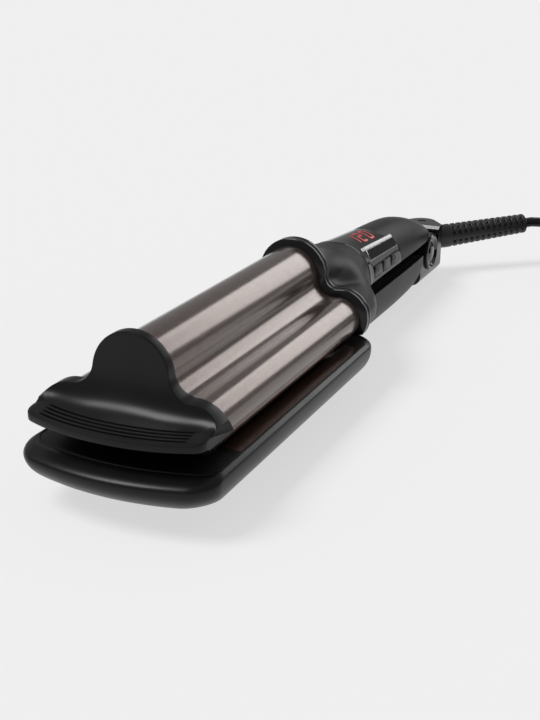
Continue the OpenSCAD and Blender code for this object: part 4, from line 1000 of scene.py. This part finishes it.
def figure_point(y, x):
    """Point just over the panel's surface at x and y, found by walking its section."""
    best = min(steps(0, 8, 400), key=lambda i: abs(handle_point(y, i, -PANEL_PROUD)[0] - max(x, 0)))
    return handle_point(y, best, -PANEL_PROUD - FIGURE_PROUD)


def figure_stroke(left, key):
    """One segment of a figure, as a thin sheet with narrowed ends."""
    ends = []
    for a, b in SPANS[key]:
        ends.append(Vector((left + a * FIGURE_W + b * FIGURE_SLANT, FIGURE_BASE_X - b * FIGURE_H)))
    run = (ends[1] - ends[0]).normalized()
    across = Vector((-run.y, run.x)) * STROKE / 2
    rows = []
    for t in steps(0, 1, 8):
        middle = ends[0].lerp(ends[1], t)
        half = min(1, 6 * min(t, 1 - t) + 0.6)
        rows.append([figure_point(*(middle + across * w * half)) for w in (-1, 0, 1)])
    return shell(rows, [[(x, y, z - 0.05) for x, y, z in row] for row in rows])


figure_strokes = [
    figure_stroke(FIGURE_FRONT + k * FIGURE_PITCH, key)
    for k, figure in enumerate("120")
    for key in SEGMENTS[figure]
]
piece("display_figures", join(*figure_strokes), "upper_arm", "display_red", material=figure_red)

# ---- Tray ----
TRAY_HALF_W = 37
NOSE = 10
TRAY_REAR = 152
TRAY_BULGE = 7
NOSE_CORNER = 8
REAR_CORNER = 13
BELT_Z = -4
BELT_TURN = 75
LEDGE_Z = RIM_Z - WALL - 0.1
TRAY_FLOOR = -20.8
RIM_FRONT = 4.3
RIM_CORNER = 5
RIM_BULGE = 6.3


def plan(half_w, front, rear, front_corner, rear_corner, bulge):
    """Outline of the tray seen from above: round corners and a front that bulges in the middle."""
    across = 28
    front_w, rear_w = half_w - front_corner, half_w - rear_corner
    points = arc((-front_w, front + front_corner), front_corner, 180, 270, 14)
    points += [(-front_w + 2 * front_w * k / across, front) for k in range(1, across)]
    points += arc((front_w, front + front_corner), front_corner, 270, 360, 14)
    points += arc((rear_w, rear - rear_corner), rear_corner, 0, 90, 14)
    points += arc((-rear_w, rear - rear_corner), rear_corner, 90, 180, 14)
    out = []
    for x, y in points:
        near = min(max((front + front_corner - y) / front_corner, 0), 1)
        out.append((x, y - bulge * (1 - (x / half_w) ** 2) * near))
    return out


def tray_ring(turn, half_w, front_mid, from_z, depth, rear):
    """Ring of the tray's round belly, by its turn down from the belt in degrees."""
    cos, sin = math.cos(math.radians(turn)), math.sin(math.radians(turn))
    w = half_w * cos
    z = from_z - depth * sin / math.sin(math.radians(BELT_TURN))
    bulge = TRAY_BULGE * cos
    front = front_mid + 65 * (1 - cos) + bulge
    corner = min(NOSE_CORNER + 12 * (1 - cos), w * 0.55)
    return [(x, y, z) for x, y in plan(w, front, rear, corner, min(REAR_CORNER, w * 0.6), bulge)]


tray_outer = [
    tray_ring(turn, TRAY_HALF_W, -NOSE, BELT_Z, ARM_DEPTH + BELT_Z, TRAY_REAR)
    for turn in steps(BELT_TURN, 0, 26)
]
# From the belt over the shoulder to the rim: inset, height against the rim, and the front's setback
SHOULDER_PROFILE = [
    (0.02, -2.6, 0.3), (0.08, -2.0, 0.9), (0.22, -1.5, 1.8), (0.45, -1.12, 2.7), (0.8, -0.8, 3.6),
    (1.2, -0.5, 4.4), (1.6, -0.28, 5.2), (1.95, -0.16, 6.2), (2.1, -0.3, 6.6), (2.22, -0.3, 6.8),
]
tray_rim = []
for inset, height, setback in SHOULDER_PROFILE:
    front, rear = setback - NOSE + TRAY_BULGE, TRAY_REAR - inset * 0.4
    outline = plan(TRAY_HALF_W - inset, front, rear, NOSE_CORNER - inset, REAR_CORNER, TRAY_BULGE)
    tray_rim.append([(x, y, RIM_Z + height + 0.1) for x, y in outline])
# A bead around the opening, then down its wall: growth, height, and the front's setback
BEAD_PROFILE = [
    (-0.05, RIM_Z - 0.1, -0.05), (-0.15, RIM_Z + 0.12, 0.1), (-0.4, RIM_Z + 0.12, 0.35), (-0.5, RIM_Z, 0.45),
    (-0.5, LEDGE_Z, 0.45),
]
for grow, z, setback in BEAD_PROFILE:
    front, rear = RIM_FRONT + setback, TRAY_REAR - 1.4 + grow
    outline = plan(RIM_HALF_W + grow, front, rear, RIM_CORNER, REAR_CORNER, RIM_BULGE)
    tray_rim.append([(x, y, z) for x, y in outline])
inner_w = RIM_HALF_W - 1.8
inner_front = RIM_FRONT + 2.2 - TRAY_BULGE
tray_inner = [
    tray_ring(turn, inner_w, inner_front, LEDGE_Z, LEDGE_Z - TRAY_FLOOR, TRAY_REAR - 3)
    for turn in steps(0, 75, 5)
]
tray = loft(tray_outer + tray_rim + tray_inner)
piece("tray_shell_skin", tray, "lower_arm", "black_shell", ["tray_shell"], 34)

# Front end block: the flat plate before the barrel, and the wall that closes the barrel's front end
BLOCK_GAP = 0.75
BLOCK_CORNER = 4.4
BLOCK_REAR = BARREL_FRONT - 0.15
BLOCK_WALL = 2.55
block_top = RIM_Z - 0.05
block_low = LEDGE_Z + 0.1
block_half_w = RIM_HALF_W - BLOCK_GAP
# The rear of this outline lies far behind, where the block cuts it off
whole_plan = plan(block_half_w, RIM_FRONT + BLOCK_GAP, 300, BLOCK_CORNER, REAR_CORNER, RIM_BULGE)
block_nose = [(x, min(y, BLOCK_REAR)) for x, y in whole_plan if y < 100]


def block_ring(inset, z):
    """Outline of the flat plate, drawn in a little at its top edge."""
    share = 1 - 0.003 * inset
    ring = [(x * share, y + 0.1 * inset, z) for x, y in block_nose]
    return ring + [(x, BLOCK_REAR, z) for x in steps(block_half_w * share, -block_half_w * share, 30)]


block_plate = loft([block_ring(0, block_low), block_ring(0, block_top - 0.15), block_ring(1, block_top)])
wall_outline = mirrored(barrel_top + [(edge_x - 2, RIM_Z), (edge_x - 2, block_low), (0, block_low)])
block_wall = along_y(wall_outline, (BLOCK_REAR - BLOCK_WALL, BLOCK_REAR))
block = join(block_plate, block_wall)
piece("tray_front_block_skin", block, "lower_arm", "block_plastic", ["tray_front_block"], 34)

# ---- Lower handle ----
LEVER_HALF_W = 15
LEVER_TOP = -0.9
LEVER_FRONT = TRAY_REAR + 0.05
LEVER_REAR = 284
LEVER_WALL = 2
LEVER_WIDTHS = [(LEVER_FRONT, 1), (LEVER_REAR - 40, 1), (LEVER_REAR - 12, 0.98), (LEVER_REAR, 0.95)]
LEVER_DEPTHS = [(LEVER_FRONT, 1), (LEVER_REAR - 40, 1), (LEVER_REAR - 14, 0.97), (LEVER_REAR, 0.91)]


def lever_row(y, depth):
    """Half section of the lower handle, open at the top, taken in by depth."""
    w = LEVER_HALF_W * look_up(y, LEVER_WIDTHS) - depth
    h = (ARM_DEPTH + LEVER_TOP) * look_up(y, LEVER_DEPTHS) - depth
    row = []
    for a in steps(360, 180, 72):
        c, s = math.cos(math.radians(a)), math.sin(math.radians(a))
        x = math.copysign(w * abs(c) ** SECTION_POWER, c)
        row.append((x, y, LEVER_TOP - h * abs(s) ** SECTION_POWER))
    return row


lever_stations = [(LEVER_FRONT, 0), (LEVER_FRONT + 40, 0)]
lever_stations += [(y, 0) for y in steps(LEVER_REAR - 60, LEVER_REAR - 0.8, 24)]
lever_stations += [(LEVER_REAR - 0.4, 0.08), (LEVER_REAR - 0.12, 0.24), (LEVER_REAR, 0.5)]
lever_outer = [lever_row(y, depth) for y, depth in lever_stations]
lever_inner = [lever_row(y, LEVER_WALL) for y, _ in lever_stations]
piece("lever_shell_skin", shell(lever_outer, lever_inner), "lower_arm", "handle_shell", ["lever_shell"], 34)

# ---- Hinge caps: glossy discs with a raised ring, a groove and a domed middle ----
HINGE_Y, HINGE_Z = 300, -3
HUB_HALF_W = 12.9
DISC_R = 9.5
DISC_SIDES = 96
# Reach out of the hub, and the radius taken off the disc's
RING_PROFILE = [
    (0, 0.3), (0.15, 0.05), (0.4, 0), (1.0, 0), (1.3, 0.08), (1.5, 0.28), (1.58, 0.6), (1.58, 1.0),
    (1.5, 1.35), (1.2, 1.9), (0.7, 2.5), (0.35, 3.1), (0.3, 3.6), (0.45, 4.2), (0.8, 4.8), (1.15, 5.6),
    (1.4, 6.6), (1.52, 7.9), (1.55, 9.2),
]
for side, name in ((-1, "hinge_cap_left"), (1, "hinge_cap_right")):
    profile = [(side * reach, DISC_R - less) for reach, less in RING_PROFILE]
    disc = turned(profile, (side * HUB_HALF_W, HINGE_Y, HINGE_Z), DISC_SIDES)
    piece(name + "_skin", disc, "lower_arm", "cap_gloss", [name], 40)

# ---- Floor and backdrop ----
FLOOR_REACH = 14
floor_corners = [(x * FLOOR_REACH, y * FLOOR_REACH, 0) for x, y in ((-1, -1), (1, -1), (1, 1), (-1, 1))]
floor_mesh = bpy.data.meshes.new("floor")
floor_mesh.from_pydata(floor_corners, [], [(0, 1, 2, 3)])
floor = bpy.data.objects.new("floor", floor_mesh)
bpy.context.scene.collection.objects.link(floor)
floor_mesh.materials.append(Shade("floor_white").set(
    Base_Color=(0.26, 0.26, 0.26),
    Roughness=1.0,
    Specular_IOR_Level=0.0,
    Emission_Color=(1, 1, 1),
    Emission_Strength=0.63,
))

# Grey room, with a pale backdrop that only the camera sees
ROOM_GREY = (0.32, 0.32, 0.323, 1)
BACKDROP_PALE = (0.855, 0.855, 0.858, 1)
world = bpy.data.worlds.new("studio")
bpy.context.scene.world = world
world.use_nodes = True
room = world.node_tree
seen_by = room.nodes.new("ShaderNodeLightPath")
backdrop = room.nodes.new("ShaderNodeMix")
backdrop.data_type = "RGBA"
backdrop.inputs[COLOUR_A].default_value = ROOM_GREY
backdrop.inputs[COLOUR_B].default_value = BACKDROP_PALE
room.links.new(seen_by.outputs["Is Camera Ray"], backdrop.inputs["Factor"])
room.links.new(backdrop.outputs[COLOUR_OUT], room.nodes["Background"].inputs["Color"])
room.nodes["Background"].inputs["Strength"].default_value = 1.0


# ---- Light ----
def lamp(name, kind, energy, location, rotation):
    """Light that the camera doesn't see."""
    obj = bpy.data.objects.new(name, bpy.data.lights.new(name, kind))
    obj.data.energy = energy
    obj.location = location
    obj.rotation_mode = "QUATERNION"
    obj.rotation_quaternion = rotation
    obj.visible_camera = False
    bpy.context.scene.collection.objects.link(obj)
    return obj


SUN_AT = Vector((-0.98, -0.88, 2.12))
sun = lamp("sun", "SUN", 2.2, SUN_AT, (-SUN_AT).to_track_quat("-Z", "Y"))
sun.data.angle = math.radians(26)

# Soft box that shows in glossy finishes only, as the bright bands along the waves of the plate
BOX_RING_A = math.radians(57)
BOX_RING_R = 0.495
BOX_FAR = 1.5
BOX_RADIANCE = 3.4
BOX_CENTRE = Vector((0, -0.08, 0.045))
box_len, box_w = 2 * 0.32 * BOX_FAR, 2 * 0.165 * BOX_FAR
box_cos, box_sin = math.cos(BOX_RING_A), math.sin(BOX_RING_A)
box_z = Vector((BOX_RING_R * box_cos, math.sqrt(1 - BOX_RING_R**2), BOX_RING_R * box_sin)).normalized()
box_x = Vector((-box_sin, 0, box_cos))
box_x = (box_x - box_z * box_z.dot(box_x)).normalized()
box_rotation = Matrix((box_x, box_z.cross(box_x), box_z)).transposed().to_quaternion()
box_power = BOX_RADIANCE * math.pi * box_len * box_w
strip_box = lamp("strip_box", "AREA", box_power, BOX_CENTRE + box_z * BOX_FAR, box_rotation)
strip_box.data.shape = "RECTANGLE"
strip_box.data.size = box_len
strip_box.data.size_y = box_w
strip_box.visible_diffuse = False

bpy.context.scene.view_settings.view_transform = "Standard"
